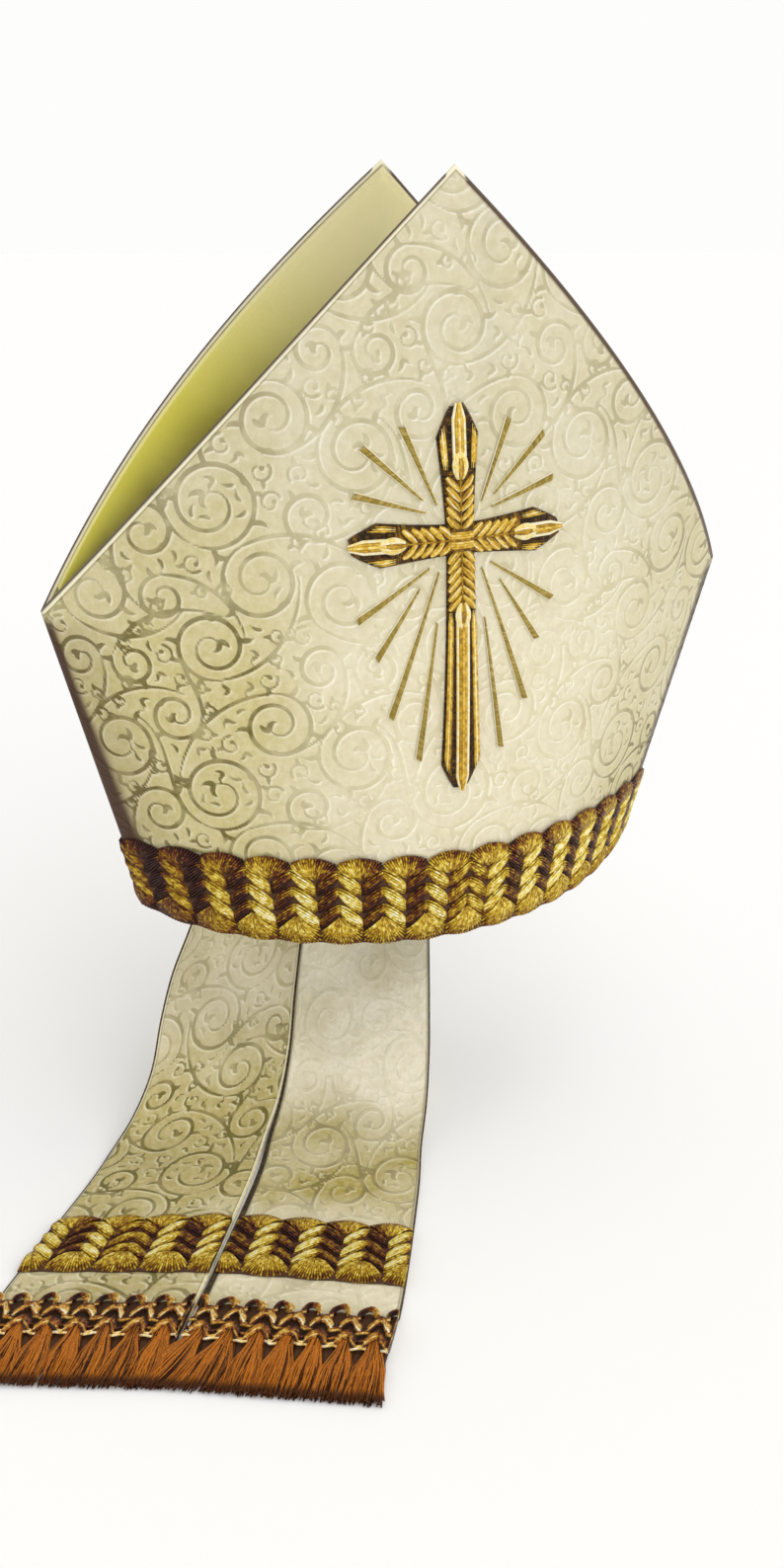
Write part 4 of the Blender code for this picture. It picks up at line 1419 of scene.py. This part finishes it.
def lining_material():
    material, r, shader = new_material("lining satin")
    place = r.place()
    parts = r.node("ShaderNodeSeparateXYZ")
    r.wire(place, parts.inputs[0])
    mottle = r.group(MOTTLE, Place=place, Size=0.024)
    # Painted shade: the satin is dark olive deep in the cleft and turns light yellow high up towards the
    # back edge.
    back = r.ramp(r.mark("climb"), 0.56, 0.99)
    high = r.ramp(parts.outputs["Z"], 0.225, 0.315)
    body = r.mix(back, colour("4E4404"), colour("CFC544"))
    body = r.mix(r.times(mottle.outputs["Soft"], 0.16), body, colour("D6CC5E"))
    body = r.mix(r.ramp(r.mark("edge"), 2.4, 1.2), body, colour("E6DC8E"))
    body = r.mix(r.times(high, 0.80), body, colour("D8CFA6"))
    r.wire(body, shader.inputs["Base Color"])
    r.wire(r.ramp(mottle.outputs["Fine"], 0.0, 1.0, 0.34, 0.46), shader.inputs["Roughness"])
    set_plain(shader, Specular_IOR_Level=0.30)
    weave = r.group(WEAVE, Place=place, Thread=0.0006)
    folds = r.times(mottle.outputs["Soft"], 1.4)
    r.wire(r.bump(r.plus(weave.outputs["Height"], folds), 0.0006, 0.35), shader.inputs["Normal"])
    return material


def build_lining():
    shell = Shell(("edge", "climb"))
    climbs = np.linspace(1 - LINING_END, 1.0, LINING_STATIONS)
    stations = [(share, -1) for share in climbs] + [(share, 1) for share in climbs[::-1][1:]]
    legs = np.linspace(-1.0, 1.0, 2 * LINING_LEGS + 1)
    way, climb = np.sign(legs), np.abs(legs)
    low, high = [], []
    for share, sign in stations:
        x = sign * gable_half_width(share)
        edge_height = CORNER_HEIGHT + GABLE_RISE * share - LINING_TUCK
        wall = skin(1, np.array([x]), np.array([edge_height]), -PANEL_WALL - CLOTH_GAP)[0, 1]
        valley = CORNER_HEIGHT - LINING_DIP * (1 - (x / CORNER_HALF_WIDTH) ** 2)
        y, z = way * wall * climb, valley + (edge_height - valley) * climb
        rise = math.hypot(wall, edge_height - valley)
        across = LINING_THICK * rise / (edge_height - valley)
        up = LINING_THICK * rise / wall
        fold = climb < across / wall
        moved_y = np.where(fold, 0.0, y - way * across)
        moved_z = np.where(fold, np.maximum(valley + up, z), z)
        marks = {"edge": (1 - climb) * rise * 1000, "climb": way * climb}
        low.append(shell.line(np.stack([x + 0 * y, y, z], axis=1), **marks))
        high.append(shell.line(np.stack([x + 0 * y, moved_y, moved_z], axis=1), **marks))
    shell.cover(high, True)
    shell.cover(low)
    shell.zip(low[0], high[0], True)
    shell.zip(low[-1], high[-1])
    shell.zip([line[0] for line in low], [line[0] for line in high])
    shell.zip([line[-1] for line in low], [line[-1] for line in high], True)
    dressed(shell.make("lining_satin", lining_material()), "olive_satin", "lining")


build_lining()


# Lappets: two strips that hang side by side from inside the back of the rim, fall and lie forward.
LAPPET_WIDTH = 0.070
LAPPET_HEM_WIDTH = 0.086
LAPPET_THICK = 0.0020
LAPPET_OFFSET = 0.0250
LAPPET_SEWN = 0.016
LAPPET_DROP = 0.125
LAPPET_REACH = 0.225
LAPPET_DRIFT = 0.144
LAPPET_LENGTH = 0.321
LAPPET_PARTING = 0.0036
LAPPET_BRAID_SHARE = 0.90
LEFT_TURN = math.radians(-22.0)
RIGHT_TURN = math.radians(-26.0)
LAPPET_HEM = LAPPET_LENGTH - LAPPET_SEWN
BRAID_TO_HEADING = 0.015
LAPPET_ROWS = 228
LAPPET_COLUMNS = 64
LAPPET_FIGURE_SHIFT = 0.031
LAPPET_EDGE_ROUND = 0.0012
# Painted shadow along the right lappet's edges, and painted shade where each lappet bends, eased off lower
# down.
LAPPET_EDGE_SHADE = (0.0018, 0.0004)
LEFT_BEND_SHADE = (0.075, 0.150)
RIGHT_BEND_SHADE = (0.120, 0.172)
BEND_SHADE_EASES = (0.195, 0.235)
BRAID_END_FLAT = 0.085

# A row says how far down, forward and left a place of the fall is, how far each lappet has turned,
# how much it has widened and parted, and how closely it clings to the wall, all as shares.
FALL_DROP, FALL_REACH, FALL_DRIFT, FALL_LEFT, FALL_RIGHT, FALL_WIDEN, FALL_PART, FALL_CLING = range(8)
FALL = np.array((
    (0.000, 0.000, 0.000, -0.60, 0.00, 0.00, 0.10, 1.00),
    (0.220, 0.024, 0.035, -0.40, 0.10, 0.05, 0.10, 0.45),
    (0.440, 0.059, 0.083, -0.16, 0.35, 0.10, 0.10, 0.10),
    (0.620, 0.118, 0.139, -0.06, 0.60, 0.16, 0.12, 0.00),
    (0.784, 0.189, 0.194, 0.02, 0.80, 0.22, 0.18, 0.00),
    (0.912, 0.267, 0.267, 0.25, 0.92, 0.32, 0.40, 0.00),
    (0.984, 0.357, 0.360, 0.50, 0.98, 0.42, 0.70, 0.00),
    (1.000, 0.500, 0.486, 0.75, 1.00, 0.56, 1.00, 0.00),
    (1.000, 0.798, 0.785, 0.95, 1.00, 1.00, 0.80, 0.00),
    (1.000, 1.000, 1.000, 1.00, 1.00, 1.05, 0.60, 0.00),
))


def smooth_rows(places):
    """Rows of the fall at places between its rows, on smooth curves through them."""
    last = len(FALL) - 1
    low = np.clip(places.astype(int), 0, last - 1)
    part = (places - low)[:, None]
    a, b, c, d = (FALL[np.clip(low + i, 0, last)] for i in (-1, 0, 1, 2))
    slope_b, slope_c = (c - a) / 2, (d - b) / 2
    bend_by, twist = 3 * (c - b) - 2 * slope_b - slope_c, 2 * (b - c) + slope_b + slope_c
    curve = b + slope_b * part + bend_by * part**2 + twist * part**3
    return np.where(part > 1.0, b + (c - b) * part, curve)


def parting_points(rows):
    """Points of the parting between the two lappets at these rows of the fall."""
    start = skin(1, np.array([-LAPPET_OFFSET]), np.zeros(1), -PANEL_WALL - CLOTH_GAP)[0]
    x = start[0] - LAPPET_DRIFT * rows[:, FALL_DRIFT]
    y = start[1] - LAPPET_REACH * rows[:, FALL_REACH]
    z = (LAPPET_THICK - LAPPET_DROP) * np.minimum(rows[:, FALL_DROP], 1.0)
    return np.stack([x, y, z], axis=1)


FALL_PLACES = np.linspace(0.0, len(FALL) - 1, 401)
FALL_RUN = np.concatenate([
    [0.0], np.cumsum(np.linalg.norm(np.diff(parting_points(smooth_rows(FALL_PLACES)), axis=0), axis=1))
])

# How finely a lappet's face is laid out down it and across it, and how far past its two edges.
FALL_GRID = 0.001
FALL_COLUMNS = 90
FALL_MARGIN = 0.15


class Fall:
    """A lappet's outer face as a fine grid of points and of what is square to them."""

    def __init__(self, hand):
        self.hand = hand
        self.distances = np.arange(-LAPPET_SEWN - 0.003, LAPPET_LENGTH + 0.040, FALL_GRID)
        self.shares = np.linspace(-FALL_MARGIN, 1 + FALL_MARGIN, FALL_COLUMNS)
        below = np.maximum(self.distances, 0.0)
        last_step = FALL_RUN[-1] - FALL_RUN[-2]
        past = (below - FALL_RUN[-1]) * (FALL_PLACES[-1] - FALL_PLACES[-2]) / last_step
        rows = smooth_rows(np.interp(below, FALL_RUN, FALL_PLACES) + np.maximum(past, 0.0))
        start = parting_points(rows)[:, None, :]
        turn = LEFT_TURN * rows[:, FALL_LEFT] if hand < 0 else RIGHT_TURN * rows[:, FALL_RIGHT]
        widened = LAPPET_WIDTH + (LAPPET_HEM_WIDTH - LAPPET_WIDTH) * rows[:, FALL_WIDEN]
        run = hand * (LAPPET_PARTING * rows[:, FALL_PART, None] / 2 + widened[:, None] * self.shares)
        ahead = np.stack([np.cos(turn), np.sin(turn), 0 * turn], axis=1)
        face = start + run[:, :, None] * ahead[:, None, :]
        cling = np.maximum(rows[:, FALL_CLING], 0.0)[:, None]
        inside = -PANEL_WALL - CLOTH_GAP - LAPPET_THICK
        wall = skin(1, face[:, :, 0], np.maximum(-self.distances, 0.0)[:, None], inside)[:, :, 1]
        face[:, :, 1] += (wall - face[:, :, 1]) * cling
        face[:, :, 2] = np.where(self.distances[:, None] < 0, -self.distances[:, None], face[:, :, 2])
        square = np.cross(np.gradient(face, axis=1) * hand, np.gradient(face, axis=0)) * -1
        self.face = face
        self.square = square / np.linalg.norm(square, axis=2, keepdims=True)

    def at(self, distance, share, out):
        """Points this far below the rim and across the lappet, lifted off its face."""
        row = np.clip((distance - self.distances[0]) / FALL_GRID, 0, len(self.distances) - 1.001)
        column = (share + FALL_MARGIN) / (1 + 2 * FALL_MARGIN) * (FALL_COLUMNS - 1)
        column = np.clip(column, 0, FALL_COLUMNS - 1.001)
        i, j = row.astype(int), column.astype(int)
        p, q = (row - i)[..., None], (column - j)[..., None]
        parts = []
        for grid in (self.face, self.square):
            first = grid[i, j] * (1 - q) + grid[i, j + 1] * q
            second = grid[i + 1, j] * (1 - q) + grid[i + 1, j + 1] * q
            parts.append(first * (1 - p) + second * p)
        return parts[0] + parts[1] * np.asarray(out)[..., None]

    def place(self, low):
        """Lays flat cloth on the lappet, its Y measured up from this distance below the rim."""
        def laid(x, y, out):
            return self.at(low - y, self.hand * x / LAPPET_HEM_WIDTH, out)
        return laid


def lappet_painted_shading(base):
    """Painted light on a lappet: this share of its shaded colour everywhere, painted shade where it bends,
    and soft patches of painted sheen.
    """
    def painted_shading(r, place):
        patch = r.minus(r.noise(place, 22.0, 1.0), 0.5)
        painted_light = r.plus(base, r.times(r.mark("bend"), 0.88))
        dimming = r.times(r.ramp(patch, -0.02, 0.14), 0.30)
        return r.plus(painted_light, r.times(patch, 0.8)), dimming
    return painted_shading


def build_lappet(word, hand, fall, material):
    """A lappet's brocade, with a painted shadow along the right one's edges and painted shade where it
    bends.
    """
    rows = np.linspace(-LAPPET_SEWN, LAPPET_HEM, LAPPET_ROWS)
    columns = np.linspace(0.0, 1.0, LAPPET_COLUMNS)
    distance = np.tile(rows[::-1, None], (1, len(columns)))
    share = np.tile(columns if hand > 0 else columns[::-1], (len(rows), 1))
    side = np.minimum(share, 1 - share) * LAPPET_HEM_WIDTH
    in_from_edge = np.minimum(side, np.minimum(distance + LAPPET_SEWN, LAPPET_HEM - distance))
    soft = 0.0008 * np.sqrt(np.clip(1 - in_from_edge / LAPPET_EDGE_ROUND, 0.0, 1.0))
    marks = figure_marks(share * LAPPET_HEM_WIDTH + LAPPET_FIGURE_SHIFT * hand, -distance)
    marks["edge"] = side * 1000 + 0.6
    # A painted shadow along the right lappet's edges, and painted shade at the bend.
    marks["shade"] = 0.9 * smooth_step(*LAPPET_EDGE_SHADE, side) * (hand > 0)
    marks["bend"] = smooth_step(*(RIGHT_BEND_SHADE if hand > 0 else LEFT_BEND_SHADE), distance)
    marks["bend"] = marks["bend"] * (1 - 0.55 * smooth_step(*BEND_SHADE_EASES, distance))
    wave = CLOTH_RIPPLE * ripple(share * 0.2 + hand, distance) * np.clip(in_from_edge / 0.01, 0, 1)
    wave = wave * (distance < LAPPET_HEM - BRAID_END_FLAT)
    inside = smooth_step(*FIGURE_EDGE, marks["figure"])
    top = -soft + (FIGURE_RAISE * inside + wave) * (in_from_edge > 0.0015)
    bottom = -LAPPET_THICK + soft

    def on_fall(x, y, out):
        return fall.at(-y, x, out)

    cloth = slab(f"lappet_brocade_{word}", on_fall, share, -distance, top, bottom, material, **marks)
    return dressed(cloth, "ivory_brocade", f"lappet_{word}")


def build_lappet_galloon(word, hand, fall):
    """The braid across a lappet, drawn in to be less tall than the rim's, and its dark ground."""
    motifs = round(LAPPET_HEM_WIDTH / GALLOON_PITCH)
    step = LAPPET_HEM_WIDTH / motifs
    motif = galloon_motif("lappet motif", step, GOLD_BRAID)
    mesh = grown("lappet galloon", motif, REPEAT, Count=motifs, Step=step, Material=GOLD_BRAID)
    start = 0.0 if hand > 0 else -LAPPET_HEM_WIDTH
    flat = fall.place(LAPPET_HEM - HEADING_HIGH - BRAID_TO_HEADING)

    def sewn(x, y, out):
        drawn_in = GALLOON_HIGH - (GALLOON_HIGH - y) * LAPPET_BRAID_SHARE
        return flat(x + start, drawn_in, out + SEWN_GAP)

    across = points_of(mesh)[:, 0] / LAPPET_HEM_WIDTH
    bend(mesh, sewn)
    # Painted highlights and shade on the arms: on the right lappet one hand is lit throughout, on the left
    # the lit hand swaps halfway across.
    galloon_tones(mesh, np.full(len(across), -1.0) if hand > 0 else np.clip((0.5 - across) * 6, -1.0, 1.0))
    mesh.name = f"lappet_galloon_{word}"
    galloon = piece(mesh.name, mesh, "gold_braid", f"lappet_braid_{word}")
    x, y = web_grid(0.0, LAPPET_HEM_WIDTH, motifs)
    web = slab(f"lappet_web_{word}", sewn, x, y, GALLOON_WEB + 0 * x, 0 * x, WEB_CLOTH)
    return galloon, dressed(web, "gold_braid", f"lappet_braid_{word}")


# Fringe: a looped heading, and silk strands that gather into locks. A row of PICOT_LOOPS is a loop's
# radius, tone and height, and a row of TIE_ROWS the height up the hem of a tie and its tone.
HEADING_HIGH = 0.021
LOCKS = 7
LOCK_PITCH = LAPPET_HEM_WIDTH / LOCKS
FRINGE_LONG = 0.030
LOCK_ROOT = 0.0030
STRANDS = 760
STRAND_GIRTH = 0.00037
PICOT_HEIGHT = 0.0176
PICOT_LOOPS = ((0.0042, 0.48, 0.0026), (0.0033, 0.22, 0.0032), (0.0023, 0.06, 0.0026))
ARCH_TONES = (0.14, 0.76, 0.58, 0.40, 0.10)
LOWER_ARCH_TONES = (0.12, 0.50, 0.34, 0.24, 0.06)
SIDE_LOOP_TONES = (0.18, 0.62, 0.36)
TIE_ROWS = ((0.0058, 0.60), (0.0070, 0.30), (-0.0034, 0.90), (-0.0022, 0.55), (0.0010, 0.14))
HEADING_GROUND_FOOT = 0.0045
HEADING_GROUND_HIGH = 0.0185
PIT_DEEP = 0.0088
PICOT_GROUND = 0.0052
EDGING_STEP = 0.003
EDGING_SUNK = 0.0009


def heading_motif():
    """A picot over a dark pit, with arms that rise at both sides to arches shared with the next one."""
    threads = Threads("tone")
    middle = LOCK_PITCH / 2

    def line(x, y, out, girth, tone):
        threads.line(np.column_stack([x, y, out + 0 * x]), girth, tone=tone)

    turn = np.linspace(-0.5, math.pi + 0.5, 13)
    # Each picot loop is painted lighter on its right side, a painted highlight.
    for radius, tone, out in PICOT_LOOPS:
        y = PICOT_HEIGHT + radius * np.sin(turn)
        line(middle + radius * np.cos(turn), y, out, 0.00066, tone + 0.34 * np.cos(turn))
    part = np.linspace(0.0, 1.0, 9)
    rise = np.sin(part * math.pi / 2) ** 1.3
    for hand in (-1, 1):
        for k in range(5):
            x = middle + hand * (0.0014 + (middle - 0.0014) * part)
            out = 0.0032 + 0.0014 * np.sin(math.pi * (0.2 + 0.6 * part)) - 0.00025 * abs(k - 2)
            y = 0.0050 + 0.00125 * k + (0.0060 - 0.0004 * k) * rise
            line(x, y, out, 0.00068, ARCH_TONES[k] - 0.12 * hand + 0.20 * (0.5 - part))
            y = -0.0040 + 0.00140 * k + (0.0058 - 0.0004 * k) * rise
            line(x, y, out, 0.00074, LOWER_ARCH_TONES[k] + 0.10 * hand + 0.14 * (part - 0.5))
        for k, tone in enumerate(SIDE_LOOP_TONES):
            x = middle + hand * (0.0030 + 0.0026 * part) + 0.0006 * np.sin(part * 6)
            y = 0.0142 + 0.0011 * k - 0.0036 * part
            line(x, y, 0.0030 + 0.0008 * np.sin(math.pi * part), 0.00060, tone + 0.10 * hand)
    sweep = np.linspace(-1.0, 1.0, 9)
    for foot, tone in TIE_ROWS:
        y = foot - 0.0012 * (1 - sweep**2)
        line(middle + 0.0025 * sweep, y, 0.0040 - 0.0010 * sweep**2, 0.00070, tone)
    return threads.swept("heading motif", 5, SEED, HEADING_GOLD)


def build_heading(word, hand, fall):
    """The looped heading, its picots over the gaps between locks, and the dark ground behind it, which
    below the heading stands in as painted shade among the strands' roots.
    """
    count = LOCKS + 1
    mesh = grown("heading", heading_motif(), REPEAT, Count=count, Step=LOCK_PITCH, Material=HEADING_GOLD)
    flat = fall.place(LAPPET_HEM)
    start = 0.0 if hand > 0 else -LAPPET_HEM_WIDTH

    def squeezed(x):
        """Draws in what would reach past the lappet's two edges."""
        inside = np.clip(x, 0.0, LAPPET_HEM_WIDTH)
        return inside + (x - inside) * 0.06

    def sewn(x, y, out):
        return flat(x + start, y, out + SEWN_GAP)

    def along_hem(x, y, out):
        x = x - LOCK_PITCH / 2
        wobble = 0.0006 * np.sin(x * 410.0 + hand) + 0.0003 * np.sin(x * 1130.0)
        return sewn(squeezed(x + 0.5 * wobble), y + wobble, out)

    bend(mesh, along_hem)
    heading = piece(f"fringe_heading_{word}", mesh, "gold_thread", f"fringe_{word}")
    share = np.linspace(0.0, 1.0, LOCKS * 8 + 1)
    picot = PICOT_GROUND * np.sqrt(np.abs(np.cos(math.pi * share * LOCKS)))
    # Below the heading the dark ground stands in as painted shade among the strands' roots, deepest in the
    # gaps between locks.
    pit = PIT_DEEP * np.cos(math.pi * share * LOCKS) ** 2
    part = np.linspace(0.0, 1.0, 7)[:, None]
    y = -HEADING_GROUND_FOOT - pit + (HEADING_GROUND_HIGH + pit + picot) * part
    x = np.tile(share * LAPPET_HEM_WIDTH, (len(part), 1))
    web = slab(f"fringe_ground_{word}", sewn, x, y, 0.0013 + 0 * x, 0 * x, WEB_CLOTH)
    return heading, dressed(web, "gold_thread", f"fringe_{word}")


def strand_across(share, part, hand, layer, chance):
    """Where a strand runs across the lappet: gathered to its lock's middle, then loose and waved."""
    lock = (math.floor(share * LOCKS) + 0.5) / LOCKS
    gather = 0.60 * (1 - smooth_step(0.18, 0.58, part)) * (0.55 + 0.45 * layer)
    across = share + (lock - share) * gather + (chance.random() - 0.5) * 0.060 * part**2
    across = across + 0.005 * np.sin(part * 5 + 9 * chance.random())
    if hand > 0:
        over_left = np.clip(1 - share / 0.30, 0.0, 1.0) ** 1.2
        past_right = np.clip((share - 0.86) / 0.14, 0.0, 1.0)
        across = across - 0.20 * over_left * part**1.3
        across = across + 0.045 * past_right * part
    return across


def build_strands(word, hand, fall):
    """Silk strands that gather under the heading's arches and fan out into locks."""
    chance = np.random.default_rng(SEED + hand)
    threads = Threads("tone", "down")
    whole = FRINGE_LONG + LOCK_ROOT
    part = np.linspace(0.0, 1.0, 9)
    for i in range(STRANDS):
        share = (i + chance.random()) / STRANDS
        layer = chance.random()
        length = whole * (0.955 + 0.05 * chance.random())
        across = strand_across(share, part, hand, layer, chance)
        crown = math.sqrt(max(0.0, 1 - (2 * (share * LOCKS % 1.0) - 1) ** 2 * 0.85))
        low = 0.0018 + (0.0004 - LAPPET_THICK - 0.0018) * smooth_step(0.50, 0.80, part)
        high = 0.0028 + 0.0012 * crown - 0.0022 * part
        out = low + (high - low) * (0.10 + 0.90 * layer)
        points = np.stack([hand * across * LAPPET_HEM_WIDTH, LOCK_ROOT - length * part, out], axis=1)
        # Painted light: strands on top and at the middle of a lock are lighter, those beneath darker.
        tone = layer * (0.35 + 0.65 * crown)
        threads.line(points, STRAND_GIRTH * (1 - 0.25 * part), tone=tone, down=part * length / whole)
    strands = threads.swept("strands", 4, SEED, RUST_SILK)
    bend(strands, fall.place(LAPPET_HEM))
    return piece(f"fringe_strands_{word}", strands, "rust_silk", f"fringe_{word}")


def build_edging(word, hand, fall):
    """Cords along a lappet's long edges: a cream one inside the left lappet, a thick dark one inside the
    right that stands in as painted shadow in the parting, and dark ones at the outer edges.
    """
    run = np.arange(0.0, LAPPET_HEM - HEADING_HIGH + EDGING_STEP, EDGING_STEP)
    threads = Threads("tone")
    wider = smooth_step(0.10, 0.24, run)
    # The right lappet's thick, darkest inner cord is painted shadow for the parting between the lappets.
    inner = (0.00085 + 0.00085 * wider, 0.0) if hand > 0 else (0.00050 + 0.00010 * wider, 0.90)
    for share, (girth, tone) in ((0.0, inner), (1.0, (0.0005, 0.12))):
        points = fall.at(run, np.full(len(run), share), np.full(len(run), -EDGING_SUNK))
        threads.line(points, girth, tone=tone)
    mesh = threads.swept(f"lappet_edging_{word}", 8, SEED, OLIVE_THREAD)
    return piece(f"lappet_edging_{word}", mesh, "gold_thread", f"lappet_{word}")


SILK_TWIST = 0.9


def silk_material():
    """Rust silk strands, with painted shade deep in the locks and at their roots, dark at their ends, and
    some strands darker at random.
    """
    material, r, shader = new_material("rust silk")
    mottle = r.group(MOTTLE, Place=r.place(), Size=0.008)
    body = r.mix(r.mark("strand"), colour("6E2800"), colour("BE6A06"))
    body = r.mix(r.times(mottle.outputs["Fine"], 0.42), body, colour("E49C3C"))
    # Painted shade on strands low in a lock, and some strands darker at random.
    deep = r.minus(1.0, r.ramp(r.mark("tone"), 0.08, 0.66))
    deep = r.math("MAXIMUM", deep, r.ramp(r.mark("strand"), 0.30, 0.12))
    # Painted shade at the roots under the heading, and darker ends.
    ends = r.math("MAXIMUM", r.ramp(r.mark("down"), 0.80, 0.95), r.ramp(r.mark("down"), 0.10, 0.0))
    dark = r.math("MAXIMUM", r.times(deep, 0.95), r.times(ends, 0.86))
    r.wire(r.mix(dark, body, colour("280500")), shader.inputs["Base Color"])
    set_plain(shader, Roughness=0.42, Specular_IOR_Level=0.30)
    turns = r.math("SINE", r.times(r.mark("along"), 2 * math.pi / SILK_TWIST))
    r.wire(r.bump(turns, 0.0001, 0.5), shader.inputs["Normal"])
    return material


RUST_SILK = silk_material()
LEFT_BROCADE = brocade_material(
    "left lappet brocade", lappet_painted_shading(0.38),
    lit_ground="F4ECD2", painted_light="B6A65E", scroll_in_shade="6C6124", scroll_in_light="D8CEA0",
)
RIGHT_BROCADE = brocade_material(
    "right lappet brocade", lappet_painted_shading(0.00),
    lit_ground="FBF3DC", painted_light="A89628", scroll_in_shade="84773A", scroll_in_light="EDE5C8",
)
for word, hand, brocade in (("left", -1, LEFT_BROCADE), ("right", 1, RIGHT_BROCADE)):
    fall = Fall(hand)
    cloth = build_lappet(word, hand, fall, brocade)
    trims = [*build_lappet_galloon(word, hand, fall), *build_heading(word, hand, fall)]
    trims += [build_strands(word, hand, fall), build_edging(word, hand, fall)]


# Camera, floor and light.
EYE = Vector((-0.26550, -0.64228, 0.34726))
LOOK = Vector((0.347656, 0.852329, -0.390731))
EYE_UP = Vector((0.123607, 0.371426, 0.920198))
LENS = 35.0
FLOOR_DROP = 0.125
FLOOR_REACH = 6.0
ROOM_LIGHT = 0.60
ROOM_SEEN_BRIGHTER = 0.385


def add_camera():
    data = bpy.data.cameras.new("camera")
    data.lens = LENS
    data.sensor_width = 36.0
    data.clip_start = 0.01
    camera = bpy.data.objects.new("camera", data)
    across = LOOK.cross(EYE_UP).normalized()
    turned = Matrix((across, across.cross(LOOK), -LOOK)).transposed()
    camera.matrix_world = Matrix.Translation(EYE) @ turned.to_4x4()
    scene.collection.objects.link(camera)
    scene.camera = camera


def add_floor():
    material, r, shader = new_material("floor")
    soft = r.noise(r.place(), 3.0)
    paper = r.mix(soft, (0.985, 0.985, 0.985, 1.0), (0.99, 0.99, 0.99, 1.0))
    r.wire(paper, shader.inputs["Base Color"])
    set_plain(shader, Roughness=0.9, Specular_IOR_Level=0.1)
    floor = Shell()
    floor.cover([
        floor.line([(-FLOOR_REACH, y, -FLOOR_DROP), (FLOOR_REACH, y, -FLOOR_DROP)])
        for y in (-FLOOR_REACH, FLOOR_REACH)
    ])
    floor.make("floor", material)


def add_light(name, towards, softness, strength, tint=(1.0, 1.0, 1.0)):
    data = bpy.data.lights.new(name, "SUN")
    data.angle = math.radians(softness)
    data.energy = strength
    data.color = tint
    light = bpy.data.objects.new(name, data)
    light.rotation_euler = Vector(towards).to_track_quat("-Z", "Y").to_euler()
    scene.collection.objects.link(light)


def add_lights():
    """A soft key from the upper right, a weak fill and an even pale room."""
    world = bpy.data.worlds.new("studio")
    world.use_nodes = True
    background = world.node_tree.nodes["Background"]
    set_plain(background, Color=(1.0, 0.998, 0.992, 1.0))
    r = Recipe(world.node_tree)
    seen = r.node("ShaderNodeLightPath").outputs["Is Camera Ray"]
    r.wire(r.plus(ROOM_LIGHT, r.times(seen, ROOM_SEEN_BRIGHTER)), background.inputs["Strength"])
    scene.world = world
    warm = (1.0, 0.985, 0.955)
    add_light("key", towards=(-0.40, 0.50, -1.10), softness=70.0, strength=1.24, tint=warm)
    add_light("low fill", towards=(0.15, 1.00, -0.24), softness=60.0, strength=0.97)
    scene.view_settings.view_transform = "Standard"


add_camera()
add_floor()
add_lights()
